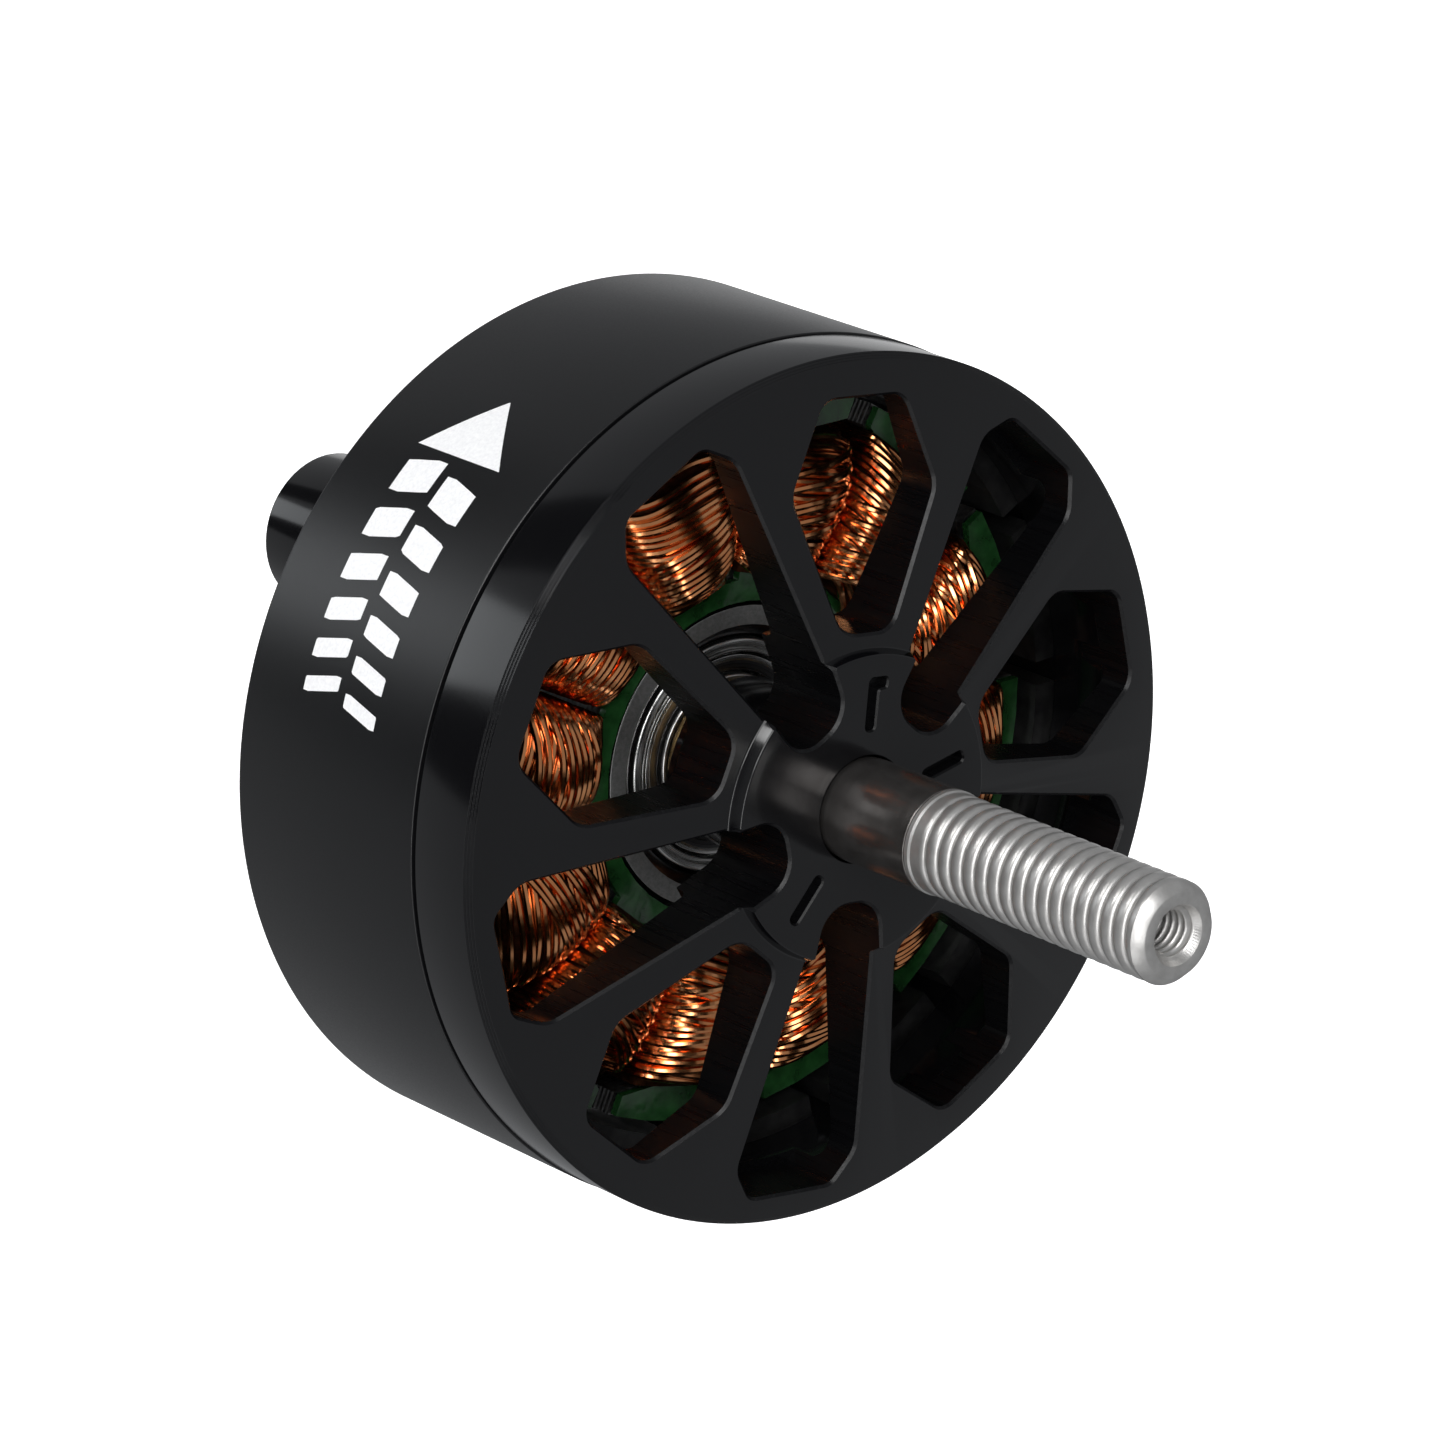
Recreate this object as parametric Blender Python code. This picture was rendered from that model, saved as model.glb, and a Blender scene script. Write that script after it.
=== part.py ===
"""Brushless outrunner motor, standing on its four mounting posts with the propeller shaft up (+Z)."""

import math

import bmesh
import bpy

# ---------------------------------------------------------------- driving dimensions, mm and degrees
MM = 0.001
CLEARANCE = 0.3

CAN_RADIUS = 25.25
CAN_BOTTOM_Z = 10.38
SEAM_Z = 26.38
FLUX_WALL = 1.55

BAND_RADIUS = 25.16
BAND_TOP_Z = 30.78
FACE_RIM_RADIUS = 24.83
FACE_RIM_Z = 31.18
HUB_RADIUS = 9.05
HUB_FOOT_Z = 33.59
HUB_FACE_Z = 34.4
PLATE_UNDERSIDE_Z = 29.5
HUB_UNDERSIDE_RADIUS = 9.6
HUB_UNDERSIDE_Z = 28.5
RIM_INNER_RADIUS = 22.8
RIM_WALL_BOTTOM_Z = 26.3
BELL_LIP_RADIUS = 23.4
BELL_BOSS_RADIUS = 4.9
BELL_BOSS_Z = 23.6
SHAFT_BORE_RADIUS = 3.23

WINDOW_PAIRS = 5
SHORT_WINDOW_ANGLE = 0.0
LONG_WINDOW_ANGLE = 36.0
HUB_SLOT_LENGTH = 3.0
HUB_SLOT_WIDTH = 0.65
HUB_SLOT_DEPTH = 0.6
HUB_SLOT_RADIUS = 6.0
HUB_SLOT_ANGLES = (72.0, 216.0, 288.0)

MAGNET_COUNT = 14
MAGNET_INNER_RADIUS = 21.95
MAGNET_OUTER_RADIUS = 23.4
MAGNET_SPAN = 22.0
MAGNET_BOTTOM_Z = 11.0
MAGNET_TOP_Z = 24.3

SHAFT_RADIUS = 3.0
THREAD_CREST_RADIUS = 2.92
JOURNAL_RADIUS = 3.9
JOURNAL_BOTTOM_Z = 4.45
JOURNAL_TOP_Z = 22.6
THREAD_START_Z = 41.2
SHAFT_TIP_Z = 60.0
TIP_CHAMFER = 0.55
TIP_BORE_RADIUS = 1.3
TIP_BORE_DEPTH = 9.0

BEARING_WIDTH = 4.0
FRONT_BEARING_TOP_Z = 22.7
REAR_BEARING_TOP_Z = 8.6
RACE_INNER_RADII = (4.15, 4.75)
RACE_OUTER_RADII = (6.05, 6.85)
SHIELD_RADII = (4.95, 5.85)
BALL_COUNT = 9
BALL_RADIUS = 0.5
BALL_PITCH_RADIUS = 5.4

TOOTH_COUNT = 12
TOOTH_ANGLE = 12.5
TOOTH_WIDTH = 4.0
YOKE_RADII = (9.2, 10.6)
STATOR_RADIUS = 21.5
TOOTH_TIP_INNER_RADIUS = 20.2
SLOT_OPENING = 5.4
CORE_Z = (11.6, 22.6)
INSULATION_THICKNESS = 0.5
INSULATION_GAP = 0.2

COIL_HALF_OPENING = 2.25
COIL_OPENING_Z = (10.6, 23.6)
COIL_STATIONS = ((10.9, 1.3), (12.2, 2.6), (14.6, 3.2), (17.2, 3.0), (18.9, 1.8))

MOUNT_CIRCLE_RADIUS = 15.0
POST_RADIUS = 4.48
POST_ANGLE = -18.2
POST_COUNT = 4
BASE_PLATE_Z = (3.6, 7.0)
BASE_HUB_RADIUS = 11.0
ARM_WIDTH = 7.6
TUBE_RADIUS = 8.9
TUBE_TOP_Z = 23.1
TUBE_RIM_RADIUS = 7.75
SEAT_RADIUS = 7.1
TUBE_BORE_RADIUS = 6.4
SCREW_HOLE_RADIUS = 1.65
SCREW_HOLE_DEPTH = 6.0

ROUND = 96
MEDIUM = 40
SMALL = 32


# ---------------------------------------------------------------- materials
def make_material(name, colour, metallic, roughness):
    material = bpy.data.materials.new(name)
    material.use_nodes = True
    shader = material.node_tree.nodes["Principled BSDF"]
    shader.inputs["Base Color"].default_value = (*colour, 1.0)
    shader.inputs["Metallic"].default_value = metallic
    shader.inputs["Roughness"].default_value = roughness
    return material


# ---------------------------------------------------------------- geometry helpers
def point(radius, angle, z):
    """A point in metres from a radius and height in mm and an angle in degrees."""
    turn = math.radians(angle)
    return (radius * MM * math.cos(turn), radius * MM * math.sin(turn), z * MM)


def add_object(name, mesh_data, material, smooth=True):
    """An object of this name from a bmesh, with outward normals and one material."""
    bmesh.ops.recalc_face_normals(mesh_data, faces=mesh_data.faces)
    for face in mesh_data.faces:
        face.smooth = smooth
    mesh = bpy.data.meshes.new(name)
    mesh_data.to_mesh(mesh)
    mesh_data.free()
    thing = bpy.data.objects.new(name, mesh)
    bpy.context.scene.collection.objects.link(thing)
    if material is not None:
        mesh.materials.append(material)
    return thing


def add_revolved(mesh_data, profile, segments, centre=(0.0, 0.0)):
    """Turns a closed profile of (radius, z) points about the vertical line through centre."""
    rings = []
    for radius, z in profile:
        if radius <= 0.0:
            rings.append([mesh_data.verts.new((centre[0] * MM, centre[1] * MM, z * MM))])
            continue
        ring = []
        for step in range(segments):
            x, y, height = point(radius, 360.0 * step / segments, z)
            ring.append(mesh_data.verts.new((x + centre[0] * MM, y + centre[1] * MM, height)))
        rings.append(ring)
    for first, second in zip(rings, rings[1:] + rings[:1]):
        if len(first) == 1 and len(second) == 1:
            continue
        for step in range(segments):
            after = (step + 1) % segments
            corners = [first[step % len(first)], first[after % len(first)]]
            corners += [second[after % len(second)], second[step % len(second)]]
            mesh_data.faces.new(list(dict.fromkeys(corners)))


def revolved(name, profile, segments, material):
    mesh_data = bmesh.new()
    add_revolved(mesh_data, profile, segments)
    return add_object(name, mesh_data, material)


def add_prism(mesh_data, outline, bottom, top):
    """Extrudes a closed outline of (x, y) points in mm between two heights."""
    lower = [mesh_data.verts.new((x * MM, y * MM, bottom * MM)) for x, y in outline]
    upper = [mesh_data.verts.new((x * MM, y * MM, top * MM)) for x, y in outline]
    mesh_data.faces.new(lower[::-1])
    mesh_data.faces.new(upper)
    for step in range(len(outline)):
        after = (step + 1) % len(outline)
        mesh_data.faces.new((lower[step], lower[after], upper[after], upper[step]))


def turned(outline, angle):
    """The outline turned about the axis by an angle in degrees."""
    cosine, sine = math.cos(math.radians(angle)), math.sin(math.radians(angle))
    return [(x * cosine - y * sine, x * sine + y * cosine) for x, y in outline]


def rounded(corners, segments=4):
    """A closed outline from (x, y, corner radius) points, each corner replaced by an arc."""
    outline = []
    for index, (x, y, radius) in enumerate(corners):
        before, after = corners[index - 1], corners[(index + 1) % len(corners)]
        to_before = (before[0] - x, before[1] - y)
        to_after = (after[0] - x, after[1] - y)
        length_before, length_after = math.hypot(*to_before), math.hypot(*to_after)
        u = (to_before[0] / length_before, to_before[1] / length_before)
        v = (to_after[0] / length_after, to_after[1] / length_after)
        half = math.acos(max(-1.0, min(1.0, u[0] * v[0] + u[1] * v[1]))) / 2.0
        reach = radius / math.tan(half)
        middle = (u[0] + v[0], u[1] + v[1])
        scale = radius / math.sin(half) / math.hypot(*middle)
        centre = (x + middle[0] * scale, y + middle[1] * scale)
        first = math.atan2(y + u[1] * reach - centre[1], x + u[0] * reach - centre[0])
        last = math.atan2(y + v[1] * reach - centre[1], x + v[0] * reach - centre[0])
        sweep = (last - first + math.pi) % (2.0 * math.pi) - math.pi
        for step in range(segments + 1):
            turn = first + sweep * step / segments
            outline.append((centre[0] + radius * math.cos(turn), centre[1] + radius * math.sin(turn)))
    return outline


def combine(target, other, operation):
    """Applies one exact Boolean to target and hides the other object as a cutter."""
    other.hide_render = True
    other.display_type = "WIRE"
    modifier = target.modifiers.new(other.name, "BOOLEAN")
    modifier.operation = operation
    modifier.solver = "EXACT"
    modifier.object = other


# ---------------------------------------------------------------- window and slot outlines
def short_window():
    return rounded([
        (9.85, -1.75, 1.5), (17.6, -5.2, 1.2), (22.75, -2.85, 0.9),
        (22.75, 2.85, 0.9), (17.6, 5.2, 1.2), (9.85, 1.75, 1.5),
    ])


def long_window():
    return rounded([
        (5.5, -1.9, 1.85), (21.4, -4.35, 1.6), (23.35, -3.0, 1.0),
        (23.35, 3.0, 1.0), (21.4, 4.35, 1.6), (5.5, 1.9, 1.85),
    ])


def hub_slot():
    near, far = HUB_SLOT_RADIUS - HUB_SLOT_LENGTH / 2.0, HUB_SLOT_RADIUS + HUB_SLOT_LENGTH / 2.0
    half = HUB_SLOT_WIDTH / 2.0
    corner = half * 0.9
    return rounded([(near, -half, corner), (far, -half, corner), (far, half, corner), (near, half, corner)], 2)


# ---------------------------------------------------------------- rotor
def build_bell(material):
    profile = [
        (SHAFT_BORE_RADIUS, BELL_BOSS_Z), (SHAFT_BORE_RADIUS, HUB_FACE_Z), (HUB_RADIUS - 0.4, HUB_FACE_Z),
        (HUB_RADIUS, HUB_FOOT_Z), (FACE_RIM_RADIUS, FACE_RIM_Z), (BAND_RADIUS, BAND_TOP_Z),
        (BAND_RADIUS, SEAM_Z + 0.1), (BELL_LIP_RADIUS, SEAM_Z + 0.1), (BELL_LIP_RADIUS, MAGNET_TOP_Z + 0.4),
        (RIM_INNER_RADIUS + 0.15, MAGNET_TOP_Z + 0.4), (RIM_INNER_RADIUS + 0.15, RIM_WALL_BOTTOM_Z),
        (RIM_INNER_RADIUS, RIM_WALL_BOTTOM_Z + 0.3), (RIM_INNER_RADIUS, PLATE_UNDERSIDE_Z),
        (HUB_UNDERSIDE_RADIUS, PLATE_UNDERSIDE_Z), (HUB_UNDERSIDE_RADIUS, HUB_UNDERSIDE_Z),
        (BELL_BOSS_RADIUS, HUB_UNDERSIDE_Z), (BELL_BOSS_RADIUS, BELL_BOSS_Z),
    ]
    bell = revolved("bell_cap", profile, ROUND, material)
    window_floor = HUB_UNDERSIDE_Z - 1.1
    windows = bmesh.new()
    for pair in range(WINDOW_PAIRS):
        turn = 360.0 * pair / WINDOW_PAIRS
        add_prism(windows, turned(short_window(), SHORT_WINDOW_ANGLE + turn), window_floor, 38.0)
        add_prism(windows, turned(long_window(), LONG_WINDOW_ANGLE + turn), window_floor, 38.0)
    slots = bmesh.new()
    for angle in HUB_SLOT_ANGLES:
        add_prism(slots, turned(hub_slot(), angle), HUB_FACE_Z - HUB_SLOT_DEPTH, 38.0)
    combine(bell, add_object("window_cutter", windows, None, False), "DIFFERENCE")
    combine(bell, add_object("slot_cutter", slots, None, False), "DIFFERENCE")
    return bell


def build_flux_ring(material):
    inner = CAN_RADIUS - FLUX_WALL
    profile = [
        (inner, CAN_BOTTOM_Z), (CAN_RADIUS - 0.25, CAN_BOTTOM_Z), (CAN_RADIUS, CAN_BOTTOM_Z + 0.25),
        (CAN_RADIUS, SEAM_Z - 0.1), (inner, SEAM_Z - 0.1),
    ]
    return revolved("flux_ring", profile, ROUND, material)


def build_magnet(index, material):
    centre = 360.0 * (index + 0.5) / MAGNET_COUNT
    steps = 4
    angles = [centre + MAGNET_SPAN * (step / steps - 0.5) for step in range(steps + 1)]
    outline = [point(MAGNET_INNER_RADIUS / MM, angle, 0.0)[:2] for angle in angles]
    outline += [point(MAGNET_OUTER_RADIUS / MM, angle, 0.0)[:2] for angle in reversed(angles)]
    mesh_data = bmesh.new()
    add_prism(mesh_data, outline, MAGNET_BOTTOM_Z, MAGNET_TOP_Z)
    return add_object(f"magnet_{index + 1:02d}", mesh_data, material, False)


def build_shaft(material):
    rear_bore_radius, rear_bore_depth = 1.9, 6.0
    profile = [
        (0.0, JOURNAL_BOTTOM_Z + rear_bore_depth), (rear_bore_radius, JOURNAL_BOTTOM_Z + rear_bore_depth),
        (rear_bore_radius, JOURNAL_BOTTOM_Z), (JOURNAL_RADIUS, JOURNAL_BOTTOM_Z),
        (JOURNAL_RADIUS, JOURNAL_TOP_Z), (SHAFT_RADIUS, JOURNAL_TOP_Z), (SHAFT_RADIUS, THREAD_START_Z),
        (THREAD_CREST_RADIUS, THREAD_START_Z + 0.1), (THREAD_CREST_RADIUS, SHAFT_TIP_Z - TIP_CHAMFER),
        (THREAD_CREST_RADIUS - TIP_CHAMFER, SHAFT_TIP_Z), (TIP_BORE_RADIUS + 0.35, SHAFT_TIP_Z),
        (TIP_BORE_RADIUS, SHAFT_TIP_Z - 0.35), (TIP_BORE_RADIUS, SHAFT_TIP_Z - TIP_BORE_DEPTH),
        (0.0, SHAFT_TIP_Z - TIP_BORE_DEPTH - 0.7),
    ]
    return revolved("prop_shaft", profile, SMALL, material)


def build_front_spacer(material):
    profile = [(3.35, 22.95), (4.65, 22.95), (4.65, 23.35), (3.35, 23.35)]
    return revolved("front_spacer", profile, MEDIUM, material)


def build_rear_washer(material):
    profile = [(1.85, 3.65), (4.6, 3.65), (4.6, 4.2), (1.85, 4.2)]
    return revolved("rear_washer", profile, MEDIUM, material)


def build_retaining_screw(material):
    socket_radius, socket_depth = 1.1, 1.1
    profile = [
        (0.0, 1.8 + socket_depth), (socket_radius, 1.8 + socket_depth), (socket_radius, 1.8), (2.5, 1.8),
        (2.75, 2.05), (2.75, 3.45), (1.5, 3.45), (1.5, 9.6), (0.0, 9.6),
    ]
    return revolved("retaining_screw", profile, SMALL, material)


# ---------------------------------------------------------------- bearings
def plain_ring(radii, bottom, top):
    inner, outer = radii
    return [(inner, bottom), (outer, bottom), (outer, top), (inner, top)]


def chamfered_ring(radii, bottom, top, chamfer):
    inner, outer = radii
    return [
        (inner, bottom), (outer - chamfer, bottom), (outer, bottom + chamfer), (outer, top - chamfer),
        (outer - chamfer, top), (inner, top),
    ]


def build_ball_cage(name, middle, material):
    """The cage ring with its balls held in it, as one running piece."""
    ring = bmesh.new()
    half = 0.3
    inner, outer = BALL_PITCH_RADIUS - 0.28, BALL_PITCH_RADIUS + 0.28
    add_revolved(ring, plain_ring((inner, outer), middle - half, middle + half), MEDIUM)
    cage = add_object(name, ring, material)
    balls = bmesh.new()
    arc = 4
    profile = []
    for step in range(arc + 1):
        turn = math.pi * (step / arc - 0.5)
        radius = 0.0 if step in (0, arc) else BALL_RADIUS * math.cos(turn)
        profile.append((radius, middle + BALL_RADIUS * math.sin(turn)))
    for ball in range(BALL_COUNT):
        turn = 2.0 * math.pi * ball / BALL_COUNT
        centre = (BALL_PITCH_RADIUS * math.cos(turn), BALL_PITCH_RADIUS * math.sin(turn))
        add_revolved(balls, profile, 8, centre)
    combine(cage, add_object(name + "_balls", balls, None), "UNION")
    return cage


def build_bearing(end, top, steel, shield_material):
    """Inner race, outer race, ball cage and front shield of one ball bearing."""
    bottom = top - BEARING_WIDTH
    revolved(f"{end}_bearing_inner_race", plain_ring(RACE_INNER_RADII, bottom, top), MEDIUM, steel)
    revolved(f"{end}_bearing_outer_race", chamfered_ring(RACE_OUTER_RADII, bottom, top, 0.2), MEDIUM, steel)
    for side, height in (("top", top - 0.45), ("bottom", bottom + 0.2)):
        profile = plain_ring(SHIELD_RADII, height, height + 0.25)
        revolved(f"{end}_bearing_shield_{side}", profile, MEDIUM, shield_material)
    build_ball_cage(f"{end}_ball_cage", (top + bottom) / 2.0, steel)


# ---------------------------------------------------------------- stator
def stator_outline(inset=0.0):
    """The laminated plate's outer edge: yoke arcs between teeth that end in curved tips."""
    outline = []
    half_width = TOOTH_WIDTH / 2.0 - inset
    yoke = YOKE_RADII[1] - inset
    root = math.degrees(math.asin(half_width / yoke))
    half_tip = (360.0 / TOOTH_COUNT - SLOT_OPENING) / 2.0
    radius = STATOR_RADIUS - inset
    neck = math.degrees(math.asin(half_width / (TOOTH_TIP_INNER_RADIUS - 0.9)))
    for tooth in range(TOOTH_COUNT):
        centre = TOOTH_ANGLE + 360.0 * tooth / TOOTH_COUNT
        places = [(yoke, -root), (TOOTH_TIP_INNER_RADIUS - 0.9, -neck), (TOOTH_TIP_INNER_RADIUS, -half_tip)]
        places += [(radius, half_tip * part) for part in (-1.0, -0.5, 0.0, 0.5, 1.0)]
        places += [(TOOTH_TIP_INNER_RADIUS, half_tip), (TOOTH_TIP_INNER_RADIUS - 0.9, neck), (yoke, root)]
        outline += [point(place / MM, centre + angle, 0.0)[:2] for place, angle in places]
    return outline


def build_stator_plate(name, bottom, top, inset, material):
    mesh_data = bmesh.new()
    add_prism(mesh_data, stator_outline(inset), bottom, top)
    plate = add_object(name, mesh_data, material, False)
    bore = bmesh.new()
    add_revolved(bore, [(0.0, bottom - 1.0), (YOKE_RADII[0], bottom - 1.0), (YOKE_RADII[0], top + 1.0),
                        (0.0, top + 1.0)], MEDIUM)
    combine(plate, add_object(name + "_bore", bore, None), "DIFFERENCE")
    return plate


def coil_loop(half_width, bottom, top, corner, segments=4):
    """A rounded rectangle across the tooth, as (sideways, height) points."""
    return rounded([
        (half_width, bottom, corner), (half_width, top, corner),
        (-half_width, top, corner), (-half_width, bottom, corner),
    ], segments)


def build_coil(index, material):
    """One winding: a bundle round its tooth that swells towards the rim and overhangs the core."""
    centre = TOOTH_ANGLE + 360.0 * index / TOOTH_COUNT
    bottom, top = COIL_OPENING_Z
    half_pitch = math.tan(math.pi / TOOTH_COUNT)
    mesh_data = bmesh.new()
    outer_loops, inner_loops = [], []
    for distance, overhang in COIL_STATIONS:
        half_width = min(distance * half_pitch - 0.16, 4.35)
        corner = min(overhang, half_width - 0.2) * 0.95
        outer = coil_loop(half_width, bottom - overhang, top + overhang, corner)
        inner = coil_loop(COIL_HALF_OPENING, bottom, top, 0.3)
        for loops, points in ((outer_loops, outer), (inner_loops, inner)):
            placed = turned([(distance, sideways) for sideways, _ in points], centre)
            loops.append([
                mesh_data.verts.new((x * MM, y * MM, height * MM))
                for (x, y), (_, height) in zip(placed, points)
            ])
    count = len(outer_loops[0])
    pairs = list(zip(outer_loops, outer_loops[1:]))
    pairs += [(second, first) for first, second in zip(inner_loops, inner_loops[1:])]
    pairs += [(inner_loops[0], outer_loops[0]), (outer_loops[-1], inner_loops[-1])]
    for first, second in pairs:
        for step in range(count):
            after = (step + 1) % count
            mesh_data.faces.new((first[step], first[after], second[after], second[step]))
    return add_object(f"coil_{index + 1:02d}", mesh_data, material)


# ---------------------------------------------------------------- base
def spider_outline():
    """The base plate seen from above: a hub with four round-ended arms."""
    outline = []
    half_arm = ARM_WIDTH / 2.0
    root = math.degrees(math.asin(half_arm / BASE_HUB_RADIUS))
    gap = 360.0 / POST_COUNT - 2.0 * root
    for post in range(POST_COUNT):
        centre = POST_ANGLE + 360.0 * post / POST_COUNT
        arm = [(BASE_HUB_RADIUS * math.cos(math.radians(root)), -half_arm)]
        for step in range(9):
            turn = math.pi * (step / 8 - 0.5)
            arm.append((MOUNT_CIRCLE_RADIUS + half_arm * math.cos(turn), half_arm * math.sin(turn)))
        arm.append((BASE_HUB_RADIUS * math.cos(math.radians(root)), half_arm))
        outline += turned(arm, centre)
        outline += [
            point(BASE_HUB_RADIUS / MM, centre + root + gap * step / 5, 0.0)[:2] for step in range(1, 5)
        ]
    return outline


def build_base(material):
    """Bearing tube, four arms and the posts that stand on the mounting surface."""
    lip_radius, floor_top = 6.3, 4.3
    seat_bottom = REAR_BEARING_TOP_Z - BEARING_WIDTH - 0.2
    profile = [
        (lip_radius, BASE_PLATE_Z[0]), (TUBE_RADIUS + 1.2, BASE_PLATE_Z[0]), (TUBE_RADIUS + 1.2, 7.4),
        (TUBE_RADIUS, 8.0), (TUBE_RADIUS, TUBE_TOP_Z), (TUBE_RIM_RADIUS, TUBE_TOP_Z),
        (SEAT_RADIUS, TUBE_TOP_Z - 0.5), (SEAT_RADIUS, FRONT_BEARING_TOP_Z - BEARING_WIDTH - 0.2),
        (TUBE_BORE_RADIUS, FRONT_BEARING_TOP_Z - BEARING_WIDTH - 0.2),
        (TUBE_BORE_RADIUS, REAR_BEARING_TOP_Z + 0.2), (SEAT_RADIUS, REAR_BEARING_TOP_Z + 0.2),
        (SEAT_RADIUS, max(seat_bottom, floor_top)), (lip_radius, max(seat_bottom, floor_top)),
    ]
    base = revolved("mounting_base", profile, MEDIUM, material)
    spider = bmesh.new()
    add_prism(spider, spider_outline(), BASE_PLATE_Z[0] + 0.1, BASE_PLATE_Z[1])
    spider_object = add_object("base_spider", spider, None, False)
    hub_hole = bmesh.new()
    add_revolved(hub_hole, [(0.0, 0.0), (8.4, 0.0), (8.4, 9.0), (0.0, 9.0)], MEDIUM)
    combine(spider_object, add_object("spider_bore", hub_hole, None), "DIFFERENCE")
    combine(base, spider_object, "UNION")
    posts, holes = bmesh.new(), bmesh.new()
    for post in range(POST_COUNT):
        centre = turned([(MOUNT_CIRCLE_RADIUS, 0.0)], POST_ANGLE + 360.0 * post / POST_COUNT)[0]
        add_revolved(posts, [
            (0.0, 0.0), (POST_RADIUS - 0.1, 0.0), (POST_RADIUS, 0.1), (POST_RADIUS, BASE_PLATE_Z[1] - 0.3),
            (POST_RADIUS - 0.3, BASE_PLATE_Z[1] + 0.05), (0.0, BASE_PLATE_Z[1] + 0.05),
        ], SMALL, centre)
        add_revolved(holes, [
            (0.0, -1.0), (SCREW_HOLE_RADIUS, -1.0), (SCREW_HOLE_RADIUS, SCREW_HOLE_DEPTH),
            (0.0, SCREW_HOLE_DEPTH + 0.5),
        ], 16, centre)
    combine(base, add_object("base_posts", posts, None), "UNION")
    combine(base, add_object("base_screw_holes", holes, None), "DIFFERENCE")
    return base


def build_wire_outlet(material):
    """The clip between two arms that the three phase wires leave through."""
    angle = POST_ANGLE + 360.0 / POST_COUNT * 2.5
    near, far, half = 11.4, 14.6, 5.4
    body = bmesh.new()
    outline = rounded([(near, -half, 0.6), (far, -half + 0.8, 0.8), (far, half - 0.8, 0.8), (near, half, 0.6)])
    add_prism(body, turned(outline, angle), 3.0, 7.0)
    outlet = add_object("wire_outlet", body, material, False)
    holes = bmesh.new()
    for offset in (-3.1, 0.0, 3.1):
        sides = 20
        loops = []
        for distance in (near - 1.0, far + 1.0):
            points = []
            for step in range(sides):
                turn = 2.0 * math.pi * step / sides
                points.append((offset + 1.3 * math.cos(turn), 5.0 + 1.3 * math.sin(turn)))
            placed = turned([(distance, sideways) for sideways, _ in points], angle)
            loops.append([
                holes.verts.new((x * MM, y * MM, height * MM)) for (x, y), (_, height) in zip(placed, points)
            ])
        holes.faces.new(loops[0])
        holes.faces.new(loops[1][::-1])
        for step in range(sides):
            after = (step + 1) % sides
            holes.faces.new((loops[0][step], loops[1][step], loops[1][after], loops[0][after]))
    combine(outlet, add_object("wire_outlet_holes", holes, None), "DIFFERENCE")
    return outlet


# ---------------------------------------------------------------- assembly
def clear_scene():
    for thing in list(bpy.data.objects):
        bpy.data.objects.remove(thing, do_unlink=True)


def build_rotor(materials):
    build_bell(materials["black"])
    build_flux_ring(materials["satin_black"])
    for index in range(MAGNET_COUNT):
        build_magnet(index, materials["magnet"])
    build_shaft(materials["steel"])
    build_front_spacer(materials["brass"])
    build_rear_washer(materials["steel"])
    build_retaining_screw(materials["steel"])


def build_stator(materials):
    core_bottom, core_top = CORE_Z
    build_base(materials["black"])
    build_wire_outlet(materials["rubber"])
    build_stator_plate("stator_core", core_bottom, core_top, 0.0, materials["lamination"])
    front = core_top + INSULATION_GAP
    build_stator_plate("insulation_front", front, front + INSULATION_THICKNESS, 0.1, materials["epoxy"])
    rear = core_bottom - INSULATION_GAP
    build_stator_plate("insulation_rear", rear - INSULATION_THICKNESS, rear, 0.1, materials["epoxy"])
    for index in range(TOOTH_COUNT):
        build_coil(index, materials["copper"])


def main():
    clear_scene()
    materials = {
        "black": make_material("black_anodised", (0.012, 0.012, 0.014), 0.6, 0.3),
        "satin_black": make_material("satin_black", (0.015, 0.015, 0.017), 0.4, 0.45),
        "steel": make_material("brushed_steel", (0.6, 0.6, 0.6), 1.0, 0.3),
        "brass": make_material("brass", (0.62, 0.42, 0.2), 1.0, 0.3),
        "magnet": make_material("nickel", (0.45, 0.44, 0.42), 1.0, 0.35),
        "lamination": make_material("electrical_steel", (0.35, 0.35, 0.36), 1.0, 0.45),
        "epoxy": make_material("green_epoxy", (0.03, 0.16, 0.05), 0.0, 0.25),
        "copper": make_material("enamelled_copper", (0.75, 0.3, 0.1), 1.0, 0.25),
        "rubber": make_material("black_rubber", (0.02, 0.02, 0.02), 0.0, 0.6),
    }
    build_rotor(materials)
    build_stator(materials)
    for end, top in (("front", FRONT_BEARING_TOP_Z), ("rear", REAR_BEARING_TOP_Z)):
        build_bearing(end, top, materials["steel"], materials["lamination"])


main()
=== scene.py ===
import math
import random

import bmesh
import bpy
import numpy as np
from mathutils import Matrix, Vector


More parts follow.
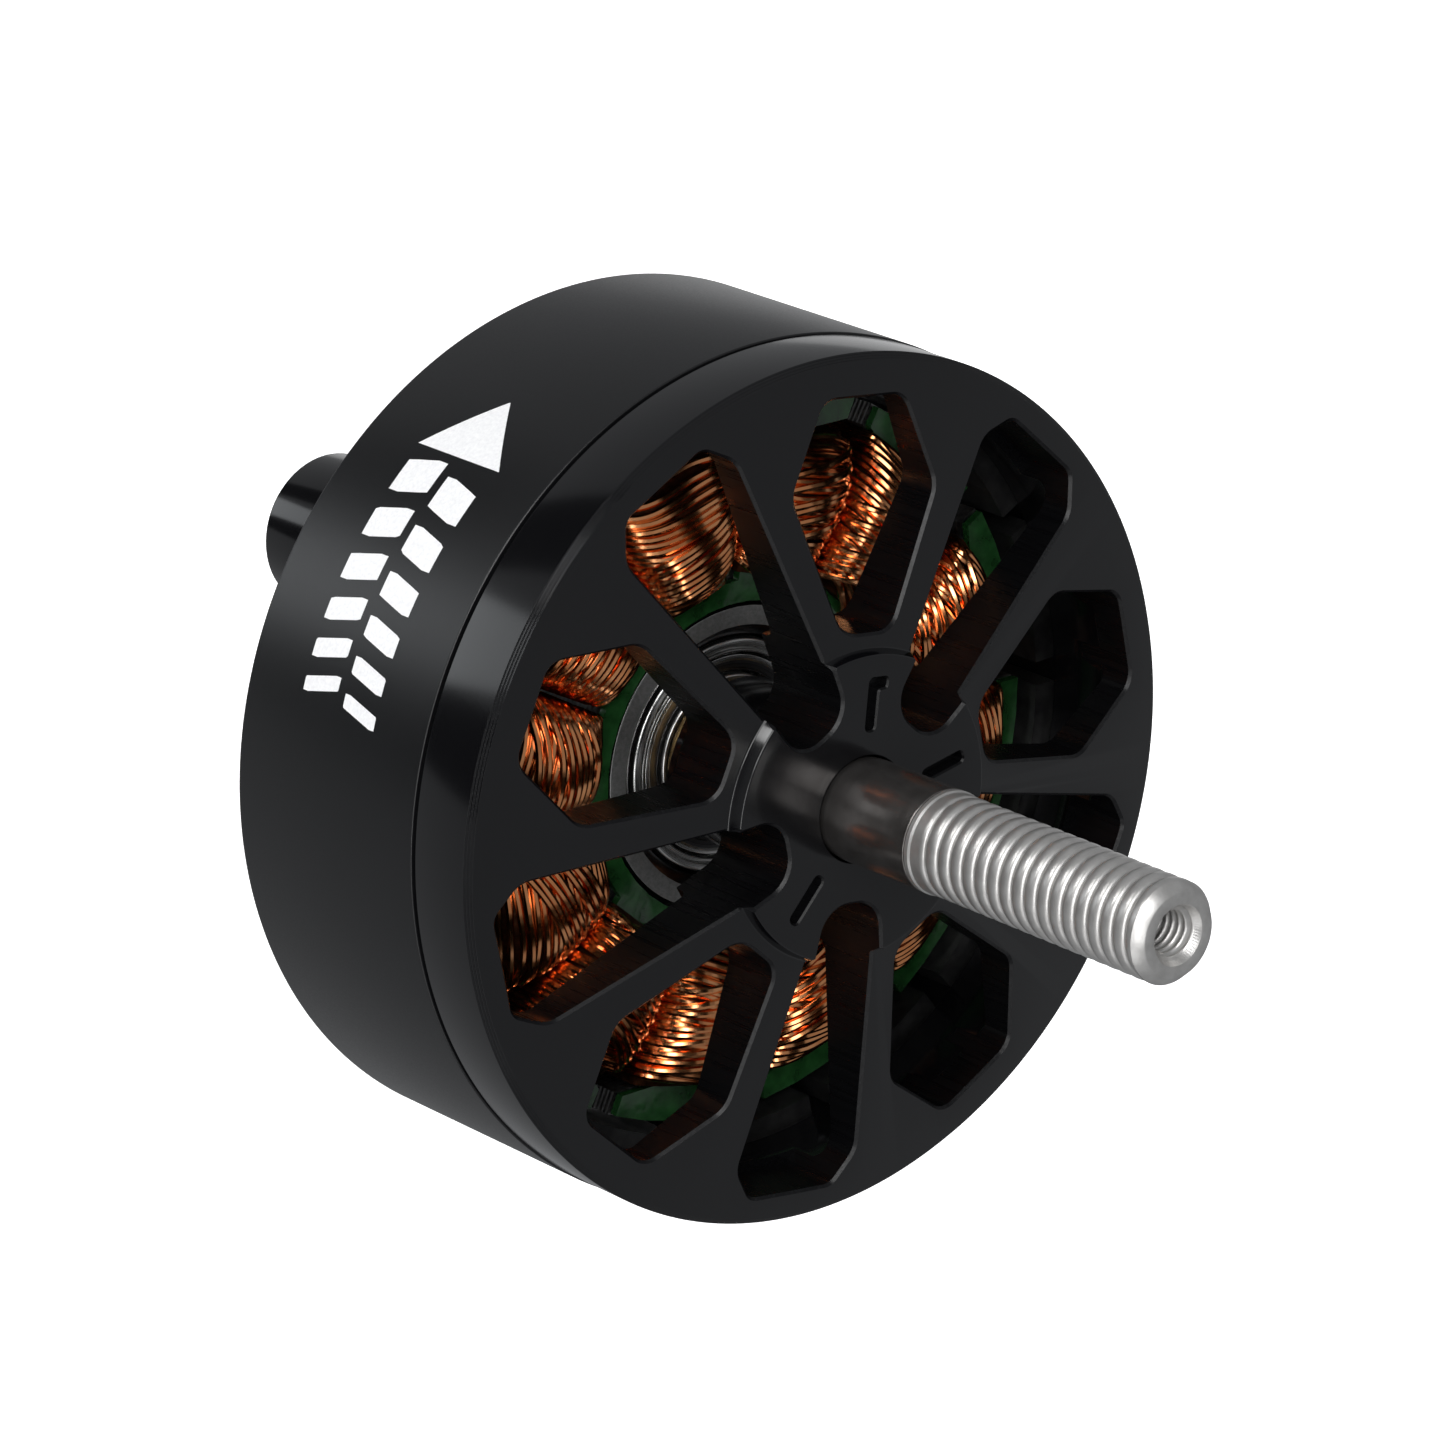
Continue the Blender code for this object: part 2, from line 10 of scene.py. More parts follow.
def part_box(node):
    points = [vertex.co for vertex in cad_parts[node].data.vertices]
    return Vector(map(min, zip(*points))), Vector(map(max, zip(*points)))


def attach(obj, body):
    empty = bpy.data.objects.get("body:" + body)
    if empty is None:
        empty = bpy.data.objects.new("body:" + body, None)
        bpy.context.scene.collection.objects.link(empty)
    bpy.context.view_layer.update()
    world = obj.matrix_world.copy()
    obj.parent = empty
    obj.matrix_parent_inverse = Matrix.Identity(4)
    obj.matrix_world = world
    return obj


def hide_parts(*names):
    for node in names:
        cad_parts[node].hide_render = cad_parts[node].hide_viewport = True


# Fine surfaces, materials, studio and camera for the outrunner motor.
# Lengths are in mm unless a name says otherwise.
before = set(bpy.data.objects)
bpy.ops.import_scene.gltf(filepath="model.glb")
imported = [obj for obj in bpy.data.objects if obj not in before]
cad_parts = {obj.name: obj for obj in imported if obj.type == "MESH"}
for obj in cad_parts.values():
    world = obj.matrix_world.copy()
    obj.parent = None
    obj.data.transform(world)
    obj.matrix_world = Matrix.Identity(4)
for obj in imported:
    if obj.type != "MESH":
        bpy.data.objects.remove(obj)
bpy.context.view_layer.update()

MM = 0.001


# ---------------- sizes read from the frame
def outer_radius(node):
    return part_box(node)[1].x / MM


def bottom_z(node):
    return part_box(node)[0].z / MM


def top_z(node):
    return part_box(node)[1].z / MM


CAN_RADIUS = outer_radius("flux_ring")
CAN_BOTTOM_Z = bottom_z("flux_ring")
CAN_TOP_Z = top_z("flux_ring")
BAND_RADIUS = outer_radius("bell_cap")
HUB_FACE_Z = top_z("bell_cap")
BOSS_BOTTOM_Z = bottom_z("bell_cap")
SHAFT_BOTTOM_Z = bottom_z("prop_shaft")
SHAFT_TIP_Z = top_z("prop_shaft")
JOURNAL_RADIUS = outer_radius("prop_shaft")
TUBE_TOP_Z = top_z("mounting_base")
CORE_TOP_Z = top_z("insulation_front")
CORE_BOTTOM_Z = bottom_z("insulation_rear")

# ---------------- shape dimensions
FLUX_WALL = 1.55
BAND_TOP_Z = 30.78
FACE_RIM_RADIUS = 24.83
FACE_RIM_Z = 31.18
HUB_RADIUS = 9.05
HUB_FOOT_Z = 33.59
HUB_EDGE = 0.22
PLATE_UNDERSIDE_Z = 29.5
HUB_UNDERSIDE_RADIUS = 9.6
HUB_UNDERSIDE_Z = 28.5
RIM_INNER_RADIUS = 22.8
RIM_WALL_BOTTOM_Z = 26.3
BELL_LIP_RADIUS = 23.4
BELL_LIP_Z = 24.7
BELL_BOSS_RADIUS = 4.9
SHAFT_BORE_RADIUS = 3.1
WINDOW_PAIRS = 5
EDGE_CHAMFER = 0.16
PLAIN_SLOT_ANGLES = (72.0, 216.0)
FOOTED_SLOT_ANGLE = 288.0
SLOT_CHAMFER = 0.1
RIM_GROOVES = 3
RIM_GROOVE_DEPTH = 0.06

SHAFT_RADIUS = 3.0
THREAD_START_Z = 41.2
THREAD_CREST_RADIUS = 2.92
THREAD_DEPTH = 0.34
THREAD_PITCH = 1.0
TIP_CHAMFER = 0.62
TAPPED_RADIUS = 1.5
TAPPED_PITCH = 0.5
TAPPED_DEPTH = 8.5

TOOTH_COUNT = 12
TOOTH_ANGLE = 12.5
WIRE_RADIUS = 0.23
LOBE_STATIONS = (
    (10.55, 0.55), (11.2, 1.5), (12.2, 2.45), (13.6, 3.0), (15.2, 3.2),
    (17.0, 3.0), (18.3, 2.3), (19.35, 0.95),
)
LOBE_HALF_WIDTH = 4.35
LOBE_GAP = 0.12

MOUNT_CIRCLE_RADIUS = 15.0
POST_RADIUS = 4.48
POST_ANGLE = -18.2
POST_COUNT = 4
BASE_PLATE_Z = (3.6, 7.0)
BASE_HUB_RADIUS = 11.0
ARM_WIDTH = 7.6
TUBE_RADIUS = 8.9
TUBE_RIM_RADIUS = 7.75
SEAT_RADIUS = 7.1
TUBE_BORE_RADIUS = 6.4
SCREW_HOLE_RADIUS = 1.65
SCREW_HOLE_DEPTH = 6.0

RACE_INNER_RADII = (4.15, 4.75)
RACE_OUTER_RADII = (6.05, 6.85)
BALL_PITCH_RADIUS = 5.4
BALL_RADIUS = 0.5
BALL_COUNT = 9

FINE = 288
MEDIUM = 128
SMOOTH_ANGLE = math.radians(28.0)


# ---------------- outlines and meshes
def rounded(corners, segments=6):
    """A closed outline from (x, y, corner radius) points, each corner replaced by an arc."""
    outline = []
    for index, (x, y, radius) in enumerate(corners):
        if radius <= 0.0:
            outline.append((x, y))
            continue
        before, after = corners[index - 1], corners[(index + 1) % len(corners)]
        u = Vector((before[0] - x, before[1] - y)).normalized()
        v = Vector((after[0] - x, after[1] - y)).normalized()
        half = math.acos(max(-1.0, min(1.0, u.dot(v)))) / 2.0
        centre = Vector((x, y)) + (u + v).normalized() * (radius / math.sin(half))
        start = Vector((x, y)) + u * (radius / math.tan(half)) - centre
        end = Vector((x, y)) + v * (radius / math.tan(half)) - centre
        first = math.atan2(start.y, start.x)
        sweep = (math.atan2(end.y, end.x) - first + math.pi) % (2.0 * math.pi) - math.pi
        for step in range(segments + 1):
            turn = first + sweep * step / segments
            outline.append((centre.x + radius * math.cos(turn), centre.y + radius * math.sin(turn)))
    return outline


def turned(outline, angle):
    """The outline turned about the axis by an angle in degrees."""
    cosine, sine = math.cos(math.radians(angle)), math.sin(math.radians(angle))
    return [(x * cosine - y * sine, x * sine + y * cosine) for x, y in outline]


def divided(outline, longest):
    """The closed outline with points added so that no edge is longer than the given length."""
    points = []
    for (x0, y0), (x1, y1) in zip(outline, outline[1:] + outline[:1]):
        parts = max(1, math.ceil(math.hypot(x1 - x0, y1 - y0) / longest))
        points += [(x0 + (x1 - x0) * part / parts, y0 + (y1 - y0) * part / parts) for part in range(parts)]
    return points


def grown(outline, distance):
    """The anticlockwise outline moved outwards by a distance."""
    points = []
    for index, (x, y) in enumerate(outline):
        before, after = outline[index - 1], outline[(index + 1) % len(outline)]
        along = Vector((after[0] - before[0], after[1] - before[1])).normalized()
        points.append((x + along.y * distance, y - along.x * distance))
    return points


def ring_mesh(profile, segments=MEDIUM, centre=(0.0, 0.0)):
    """Vertices and faces of a closed (radius, z) profile turned about a vertical line."""
    angles = np.linspace(0.0, 2.0 * math.pi, segments, endpoint=False)
    outline = np.array(profile)
    x = outline[:, :1] * np.cos(angles) + centre[0]
    y = outline[:, :1] * np.sin(angles) + centre[1]
    z = np.repeat(outline[:, 1:], segments, axis=1)
    vertices = np.stack([x, y, z], axis=-1).reshape(-1, 3)
    rows = len(profile)
    faces = []
    for row in range(rows):
        first, second = row * segments, (row + 1) % rows * segments
        for step in range(segments):
            after = (step + 1) % segments
            faces.append((first + step, first + after, second + after, second + step))
    return vertices, faces


def loop_stack(loops):
    """Vertices and faces of closed loops with equal counts, joined in order and capped at both ends."""
    count = len(loops[0])
    vertices = np.array(loops).reshape(-1, 3)
    faces = [tuple(range(count)), tuple(range((len(loops) - 1) * count, len(loops) * count))[::-1]]
    for row in range(len(loops) - 1):
        for step in range(count):
            after = (step + 1) % count
            first, second = row * count, (row + 1) * count
            faces.append((first + step, second + step, second + after, first + after))
    return vertices, faces


def joined(*meshes):
    """Several (vertices, faces) pairs as one."""
    vertices, faces, offset = [], [], 0
    for points, polygons in meshes:
        vertices.append(np.asarray(points, float))
        faces += [tuple(corner + offset for corner in polygon) for polygon in polygons]
        offset += len(points)
    return np.concatenate(vertices), faces


def make_object(name, vertices, faces, materials=(), face_materials=None, merge=1e-7):
    """An object from points in mm, with outward normals, smooth faces and sharp edges kept sharp."""
    mesh = bpy.data.meshes.new(name)
    mesh.from_pydata((np.asarray(vertices, float) * MM).tolist(), [], faces)
    if face_materials is not None:
        mesh.polygons.foreach_set("material_index", face_materials)
    work = bmesh.new()
    work.from_mesh(mesh)
    bmesh.ops.remove_doubles(work, verts=work.verts, dist=merge)
    bmesh.ops.recalc_face_normals(work, faces=work.faces)
    work.to_mesh(mesh)
    work.free()
    thing = bpy.data.objects.new(name, mesh)
    bpy.context.scene.collection.objects.link(thing)
    for material in materials:
        mesh.materials.append(material)
    shade(mesh)
    return thing


def shade(mesh, angle=SMOOTH_ANGLE):
    mesh.polygons.foreach_set("use_smooth", [True] * len(mesh.polygons))
    mesh.set_sharp_from_angle(angle=angle)


def carve(target, cutter, operation="DIFFERENCE"):
    """Cuts or joins the second object into the first, keeps the cutter's materials and removes it."""
    modifier = target.modifiers.new("carve", "BOOLEAN")
    modifier.operation = operation
    modifier.solver = "EXACT"
    modifier.material_mode = "TRANSFER"
    modifier.object = cutter
    apply_modifiers(target)
    bpy.data.objects.remove(cutter)


def apply_modifiers(target):
    bpy.context.view_layer.update()
    result = bpy.data.meshes.new_from_object(target.evaluated_get(bpy.context.evaluated_depsgraph_get()))
    target.modifiers.clear()
    target.data = result
    shade(result)


def soften(target, width, segments=2, angle=35.0):
    """A narrow bevel on the sharp edges, so that they catch the light."""
    modifier = target.modifiers.new("soften", "BEVEL")
    modifier.width = width * MM
    modifier.segments = segments
    modifier.limit_method = "ANGLE"
    modifier.angle_limit = math.radians(angle)
    modifier.harden_normals = True
    return modifier


def repaint(target, material, wanted):
    """Gives a further material to the faces whose centre passes the test."""
    target.data.materials.append(material)
    index = len(target.data.materials) - 1
    for polygon in target.data.polygons:
        if wanted(polygon.center):
            polygon.material_index = index


def place(piece, body, slot_name, *nodes):
    """The piece rides on a body and stands for CAD nodes; the slot name is not used."""
    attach(piece, body)
    if nodes:
        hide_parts(*nodes)
    return piece


# ---------------- material building
def new_material(name, colour, metallic, roughness, **sockets):
    """A material, its node tree and its Principled shader with plain values set on the sockets."""
    material = bpy.data.materials.new(name)
    material.use_nodes = True
    tree = material.node_tree
    shader = tree.nodes["Principled BSDF"]
    shader.inputs["Base Color"].default_value = (*colour, 1.0)
    shader.inputs["Metallic"].default_value = metallic
    shader.inputs["Roughness"].default_value = roughness
    for socket, value in sockets.items():
        shader.inputs[socket.replace("_", " ")].default_value = value
    return material, tree, shader


def mm_position(tree):
    """The surface point in mm, as a vector output."""
    coordinates = tree.nodes.new("ShaderNodeTexCoord")
    scale = tree.nodes.new("ShaderNodeVectorMath")
    scale.operation = "SCALE"
    scale.inputs["Scale"].default_value = 1.0 / MM
    tree.links.new(coordinates.outputs["Object"], scale.inputs[0])
    return scale.outputs["Vector"]


def stretched(tree, vector, factors):
    node = tree.nodes.new("ShaderNodeVectorMath")
    node.operation = "MULTIPLY"
    node.inputs[1].default_value = factors
    tree.links.new(vector, node.inputs[0])
    return node.outputs["Vector"]


def noise(tree, vector, scale, detail=2.0, roughness=0.5):
    node = tree.nodes.new("ShaderNodeTexNoise")
    node.inputs["Scale"].default_value = scale
    node.inputs["Detail"].default_value = detail
    node.inputs["Roughness"].default_value = roughness
    tree.links.new(vector, node.inputs["Vector"])
    return node.outputs["Fac"]


def maths(tree, operation, first, second=None):
    node = tree.nodes.new("ShaderNodeMath")
    node.operation = operation
    for socket, value in zip(node.inputs, (first, second)):
        if value is None:
            continue
        if isinstance(value, (int, float)):
            socket.default_value = value
        else:
            tree.links.new(value, socket)
    return node.outputs["Value"]


def turning_lines(tree, vector, per_mm, detail=3.0):
    """Fine rings left by a lathe: they vary with radius on a face and with height on a cylinder."""
    flat = tree.nodes.new("ShaderNodeVectorMath")
    flat.operation = "LENGTH"
    tree.links.new(stretched(tree, vector, (1.0, 1.0, 0.0)), flat.inputs[0])
    parts = tree.nodes.new("ShaderNodeSeparateXYZ")
    tree.links.new(vector, parts.inputs["Vector"])
    across = maths(tree, "ADD", flat.outputs["Value"], parts.outputs["Z"])
    node = tree.nodes.new("ShaderNodeTexNoise")
    node.noise_dimensions = "1D"
    node.inputs["Scale"].default_value = per_mm
    node.inputs["Detail"].default_value = detail
    tree.links.new(across, node.inputs["W"])
    return node.outputs["Fac"]


def ranged(tree, value, low, high, from_low=0.3, from_high=0.7):
    node = tree.nodes.new("ShaderNodeMapRange")
    node.inputs["From Min"].default_value = from_low
    node.inputs["From Max"].default_value = from_high
    node.inputs["To Min"].default_value = low
    node.inputs["To Max"].default_value = high
    tree.links.new(value, node.inputs["Value"])
    return node.outputs["Result"]


def colours(tree, value, first, second, from_low=0.3, from_high=0.7):
    """A colour that runs from the first to the second with a value."""
    node = tree.nodes.new("ShaderNodeMix")
    node.data_type = "RGBA"
    node.inputs["A"].default_value = (*first, 1.0)
    node.inputs["B"].default_value = (*second, 1.0)
    tree.links.new(ranged(tree, value, 0.0, 1.0, from_low, from_high), node.inputs["Factor"])
    return node.outputs["Result"]


def tint(tree, shader, value, first, second, from_low=0.3, from_high=0.7):
    """Base colour that runs from the first colour to the second with a value."""
    tree.links.new(colours(tree, value, first, second, from_low, from_high), shader.inputs["Base Color"])


def roughen(tree, shader, value, low, high):
    """Roughness that runs from low to high with a value."""
    tree.links.new(ranged(tree, value, low, high), shader.inputs["Roughness"])


def bumps(tree, shader, height, distance, strength=1.0, socket="Normal"):
    """Bump from a height value; distance is the height in mm that a full step stands for."""
    node = tree.nodes.new("ShaderNodeBump")
    node.inputs["Strength"].default_value = strength
    node.inputs["Distance"].default_value = distance * MM
    tree.links.new(height, node.inputs["Height"])
    tree.links.new(node.outputs["Normal"], shader.inputs[socket])
    return node


# ---------------- materials
def anodised_black():
    """Turned aluminium under a glossy black anodised skin."""
    material, tree, shader = new_material("anodised_black", (0.0025, 0.0025, 0.003), 0.0, 0.14)
    place_mm = mm_position(tree)
    lines = turning_lines(tree, place_mm, 6.0)
    grain = noise(tree, place_mm, 16.0, 3.0)
    tint(tree, shader, grain, (0.002, 0.002, 0.0025), (0.003, 0.003, 0.0037))
    roughen(tree, shader, grain, 0.12, 0.16)
    bumps(tree, shader, lines, 0.0005)
    return material


def anodised_satin():
    """The can wall: a smooth satin black coat with a very fine grain."""
    material, tree, shader = new_material("anodised_satin", (0.003, 0.0031, 0.0037), 0.0, 0.34)
    place_mm = mm_position(tree)
    grain = noise(tree, place_mm, 9.0, 3.0)
    cloud = noise(tree, place_mm, 0.15, 2.0)
    tint(tree, shader, cloud, (0.0027, 0.0028, 0.0033), (0.0033, 0.0034, 0.0041))
    roughen(tree, shader, grain, 0.31, 0.37)
    bumps(tree, shader, grain, 0.0006)
    return material


def milled_wall():
    """Window walls: black and glossy, with faint upright cutter marks."""
    material, tree, shader = new_material(
        "milled_wall", (0.0025, 0.0025, 0.003), 0.0, 0.28, Specular_IOR_Level=0.14,
    )
    upright = stretched(tree, mm_position(tree), (1.0, 1.0, 0.03))
    marks = noise(tree, upright, 5.0, 3.0)
    tint(tree, shader, marks, (0.002, 0.002, 0.0024), (0.0035, 0.0035, 0.004))
    roughen(tree, shader, marks, 0.25, 0.33)
    bumps(tree, shader, marks, 0.0004)
    return material


def milled_edge():
    """Chamfers: the same black skin, with hatched cutter marks that catch the light."""
    material, tree, shader = new_material(
        "milled_edge", (0.004, 0.004, 0.005), 0.0, 0.3, Specular_IOR_Level=0.22,
    )
    upright = stretched(tree, mm_position(tree), (1.0, 1.0, 0.02))
    marks = noise(tree, upright, 7.0, 2.0, 0.7)
    tint(tree, shader, marks, (0.002, 0.002, 0.0025), (0.007, 0.0073, 0.0085), 0.45, 0.7)
    roughen(tree, shader, marks, 0.34, 0.26)
    bumps(tree, shader, marks, 0.01)
    return material


def thread_steel():
    """Satin rolled steel: fine grain, a little mottled."""
    material, tree, shader = new_material("thread_steel", (0.62, 0.61, 0.595), 0.8, 0.38)
    place_mm = mm_position(tree)
    grain = noise(tree, place_mm, 14.0, 4.0, 0.6)
    cloud = noise(tree, place_mm, 1.6, 3.0)
    tint(tree, shader, cloud, (0.46, 0.452, 0.44), (0.55, 0.542, 0.53))
    roughen(tree, shader, grain, 0.33, 0.42)
    bumps(tree, shader, grain, 0.003)
    return material


def polished_steel():
    """The plain length of the shaft: ground steel with faint grinding rings, its colour painted dark as shade
    for the dark surroundings it mirrors.
    """
    # Painted shade: the steel's base colour is set dark to stand in for the dark surroundings mirrored in it.
    material, tree, shader = new_material("polished_steel", (0.2, 0.188, 0.18), 0.9, 0.24)
    place_mm = mm_position(tree)
    rings = turning_lines(tree, place_mm, 5.0)
    smear = noise(tree, place_mm, 0.9, 3.0)
    tint(tree, shader, smear, (0.16, 0.148, 0.14), (0.24, 0.226, 0.218))
    roughen(tree, shader, rings, 0.22, 0.27)
    bumps(tree, shader, rings, 0.001)
    return material


def ground_steel(name="ground_steel", colour=(0.62, 0.62, 0.61), roughness=0.26):
    """Bearing steel with fine turned rings."""
    material, tree, shader = new_material(name, colour, 1.0, roughness)
    rings = turning_lines(tree, mm_position(tree), 9.0)
    dark = tuple(channel * 0.78 for channel in colour)
    tint(tree, shader, rings, dark, colour)
    roughen(tree, shader, rings, roughness * 0.9, roughness * 1.2)
    bumps(tree, shader, rings, 0.0001)
    return material


def enamelled_copper():
    """Magnet wire: copper under a clear, slightly amber enamel."""
    material, tree, shader = new_material(
        "enamelled_copper", (0.85, 0.34, 0.13), 1.0, 0.17, Coat_Weight=0.5, Coat_Roughness=0.1,
    )
    place_mm = mm_position(tree)
    tone = noise(tree, place_mm, 0.5, 3.0)
    tint(tree, shader, tone, (0.74, 0.26, 0.085), (0.95, 0.44, 0.19))
    fine = noise(tree, place_mm, 2.0, 2.0)
    roughen(tree, shader, fine, 0.15, 0.21)
    bumps(tree, shader, fine, 0.002)
    return material


def painted_shade_copper():
    """The buried turns under the outer layer of a winding: copper painted dark as the shade between the
    turns.
    """
    # Painted shade: the base colour is copper darkened as if in the shade under the outer turns.
    material, tree, shader = new_material("painted_shade_copper", (0.06, 0.02, 0.008), 0.8, 0.45)
    bands = noise(tree, mm_position(tree), 2.2, 3.0)
    tint(tree, shader, bands, (0.03, 0.009, 0.003), (0.1, 0.033, 0.012))
    bumps(tree, shader, bands, 0.05)
    return material


def green_epoxy():
    """Poured green insulation, glossy with a soft uneven skin."""
    material, tree, shader = new_material(
        "green_epoxy", (0.014, 0.07, 0.018), 0.0, 0.14, Coat_Weight=0.3, Coat_Roughness=0.05,
    )
    place_mm = mm_position(tree)
    skin = noise(tree, place_mm, 0.9, 2.0)
    tint(tree, shader, skin, (0.008, 0.04, 0.01), (0.017, 0.08, 0.02))
    roughen(tree, shader, skin, 0.12, 0.2)
    bumps(tree, shader, skin, 0.05)
    return material


def laminated_steel():
    """A stack of thin plates, seen as fine lines round its edge."""
    material, tree, shader = new_material("laminated_steel", (0.4, 0.4, 0.4), 1.0, 0.35)
    place_mm = mm_position(tree)
    plates = tree.nodes.new("ShaderNodeTexWave")
    plates.bands_direction = "Z"
    plates.inputs["Scale"].default_value = 0.9
    plates.inputs["Distortion"].default_value = 0.0
    tree.links.new(place_mm, plates.inputs["Vector"])
    grain = noise(tree, place_mm, 3.0, 3.0)
    tint(tree, shader, grain, (0.26, 0.26, 0.26), (0.46, 0.46, 0.45))
    roughen(tree, shader, grain, 0.28, 0.45)
    bumps(tree, shader, plates.outputs["Fac"], 0.03)
    return material


def nickel_magnet():
    """Dark plated magnets with soft stains."""
    material, tree, shader = new_material("nickel_magnet", (0.05, 0.05, 0.05), 0.8, 0.34)
    stain = noise(tree, mm_position(tree), 0.8, 4.0)
    tint(tree, shader, stain, (0.035, 0.035, 0.037), (0.07, 0.07, 0.07))
    roughen(tree, shader, stain, 0.28, 0.42)
    bumps(tree, shader, stain, 0.01)
    return material


def machined_rim():
    """The bare sawn-off end of the bearing tube: grey aluminium with a coarse turned grain."""
    material, tree, shader = new_material("machined_rim", (0.22, 0.22, 0.215), 0.7, 0.42)
    place_mm = mm_position(tree)
    grain = noise(tree, place_mm, 5.0, 5.0, 0.65)
    tint(tree, shader, grain, (0.17, 0.17, 0.168), (0.27, 0.27, 0.265))
    roughen(tree, shader, grain, 0.36, 0.5)
    bumps(tree, shader, turning_lines(tree, place_mm, 9.0), 0.008)
    return material


def turned_brass():
    """Brass with fine turned rings."""
    material, tree, shader = new_material("turned_brass", (0.55, 0.36, 0.15), 1.0, 0.25)
    rings = turning_lines(tree, mm_position(tree), 8.0)
    tint(tree, shader, rings, (0.40, 0.25, 0.10), (0.62, 0.42, 0.19))
    bumps(tree, shader, rings, 0.003)
    return material


def moulded_rubber():
    """Black rubber with a fine moulded grain."""
    material, tree, shader = new_material("moulded_rubber", (0.016, 0.016, 0.017), 0.0, 0.55)
    grain = noise(tree, mm_position(tree), 7.0, 4.0)
    tint(tree, shader, grain, (0.011, 0.011, 0.012), (0.022, 0.022, 0.023))
    roughen(tree, shader, grain, 0.48, 0.65)
    bumps(tree, shader, grain, 0.02)
    return material


def print_white():
    """Pad-printed white ink: matt, with a slightly uneven film."""
    material, tree, shader = new_material("print_white", (0.9, 0.9, 0.9), 0.0, 0.5)
    film = noise(tree, mm_position(tree), 5.0, 3.0)
    tint(tree, shader, film, (0.84, 0.84, 0.85), (0.95, 0.95, 0.95))
    bumps(tree, shader, film, 0.004)
    return material


# ---------------- front cap
def face_height(radius):
    """Height of the cap's outer face: hub, hub edge, then the shallow cone out to the rim."""
    return float(np.interp(
        radius, (HUB_RADIUS - HUB_EDGE, HUB_RADIUS, FACE_RIM_RADIUS), (HUB_FACE_Z, HUB_FOOT_Z, FACE_RIM_Z)
    ))


def window_outlines():
    short = rounded([
        (9.85, -1.75, 1.55), (17.6, -5.2, 1.6), (22.75, -2.85, 1.3),
        (22.75, 2.85, 1.3), (17.6, 5.2, 1.6), (9.85, 1.75, 1.55),
    ], 10)
    long = rounded([
        (5.5, -1.9, 1.85), (21.4, -4.35, 1.6), (23.35, -3.0, 1.0),
        (23.35, 3.0, 1.0), (21.4, 4.35, 1.6), (5.5, 1.9, 1.85),
    ], 10)
    turns = [360.0 * pair / WINDOW_PAIRS for pair in range(WINDOW_PAIRS)]
    between = 180.0 / WINDOW_PAIRS
    return [turned(short, turn) for turn in turns] + [turned(long, turn + between) for turn in turns]


def slot_outlines():
    """Three short radial slots in the hub; one has a foot to one side at its outer end."""
    half, near, far = 0.33, 4.5, 7.5
    foot_depth, foot_reach = 0.6, 0.95
    plain = rounded([(near, -half, 0.28), (far, -half, 0.28), (far, half, 0.28), (near, half, 0.28)], 5)
    footed = rounded([
        (near, -half, 0.28), (far - foot_depth, -half, 0.3), (far - foot_depth, -foot_reach, 0.2),
        (far, -foot_reach, 0.2), (far, half, 0.25), (near, half, 0.28),
    ], 5)
    return [turned(plain, angle) for angle in PLAIN_SLOT_ANGLES] + [turned(footed, FOOTED_SLOT_ANGLE)]


def flared_cutter(name, outlines, floor, chamfer, wall_material, edge_material):
    """One cutter for many openings: upright walls that flare into a chamfer along the outer face."""
    above = HUB_FACE_Z + 4.0
    meshes, groups = [], []
    for outline in outlines:
        points = divided(outline, 0.45)
        wide = grown(points, chamfer)
        heights = [face_height(math.hypot(x, y)) for x, y in wide]
        loops = [
            [(x, y, floor(z)) for (x, y), z in zip(points, heights)],
            [(x, y, z - chamfer) for (x, y), z in zip(points, heights)],
            [(x, y, z) for (x, y), z in zip(wide, heights)],
            [(x, y, z + chamfer) for (x, y), z in zip(grown(points, 2.0 * chamfer), heights)],
            [(x, y, above) for x, y in grown(points, 2.0 * chamfer)],
        ]
        vertices, faces = loop_stack(loops)
        meshes.append((vertices, faces))
        groups += [0, 0] + [0] * len(points) + [1] * (3 * len(points))
    vertices, faces = joined(*meshes)
    return make_object(name, vertices, faces, (wall_material, edge_material), groups)


def rim_grooves():
    """The turned chamfer between face and band, as a fine saw-tooth profile."""
    points = []
    for step in range(2 * RIM_GROOVES + 1):
        part = step / (2.0 * RIM_GROOVES)
        sink = RIM_GROOVE_DEPTH * 0.7 if step % 2 else 0.0
        radius = FACE_RIM_RADIUS + (BAND_RADIUS - FACE_RIM_RADIUS) * part - sink
        points.append((radius, FACE_RIM_Z + (BAND_TOP_Z - FACE_RIM_Z) * part - sink, 0.008))
    return points


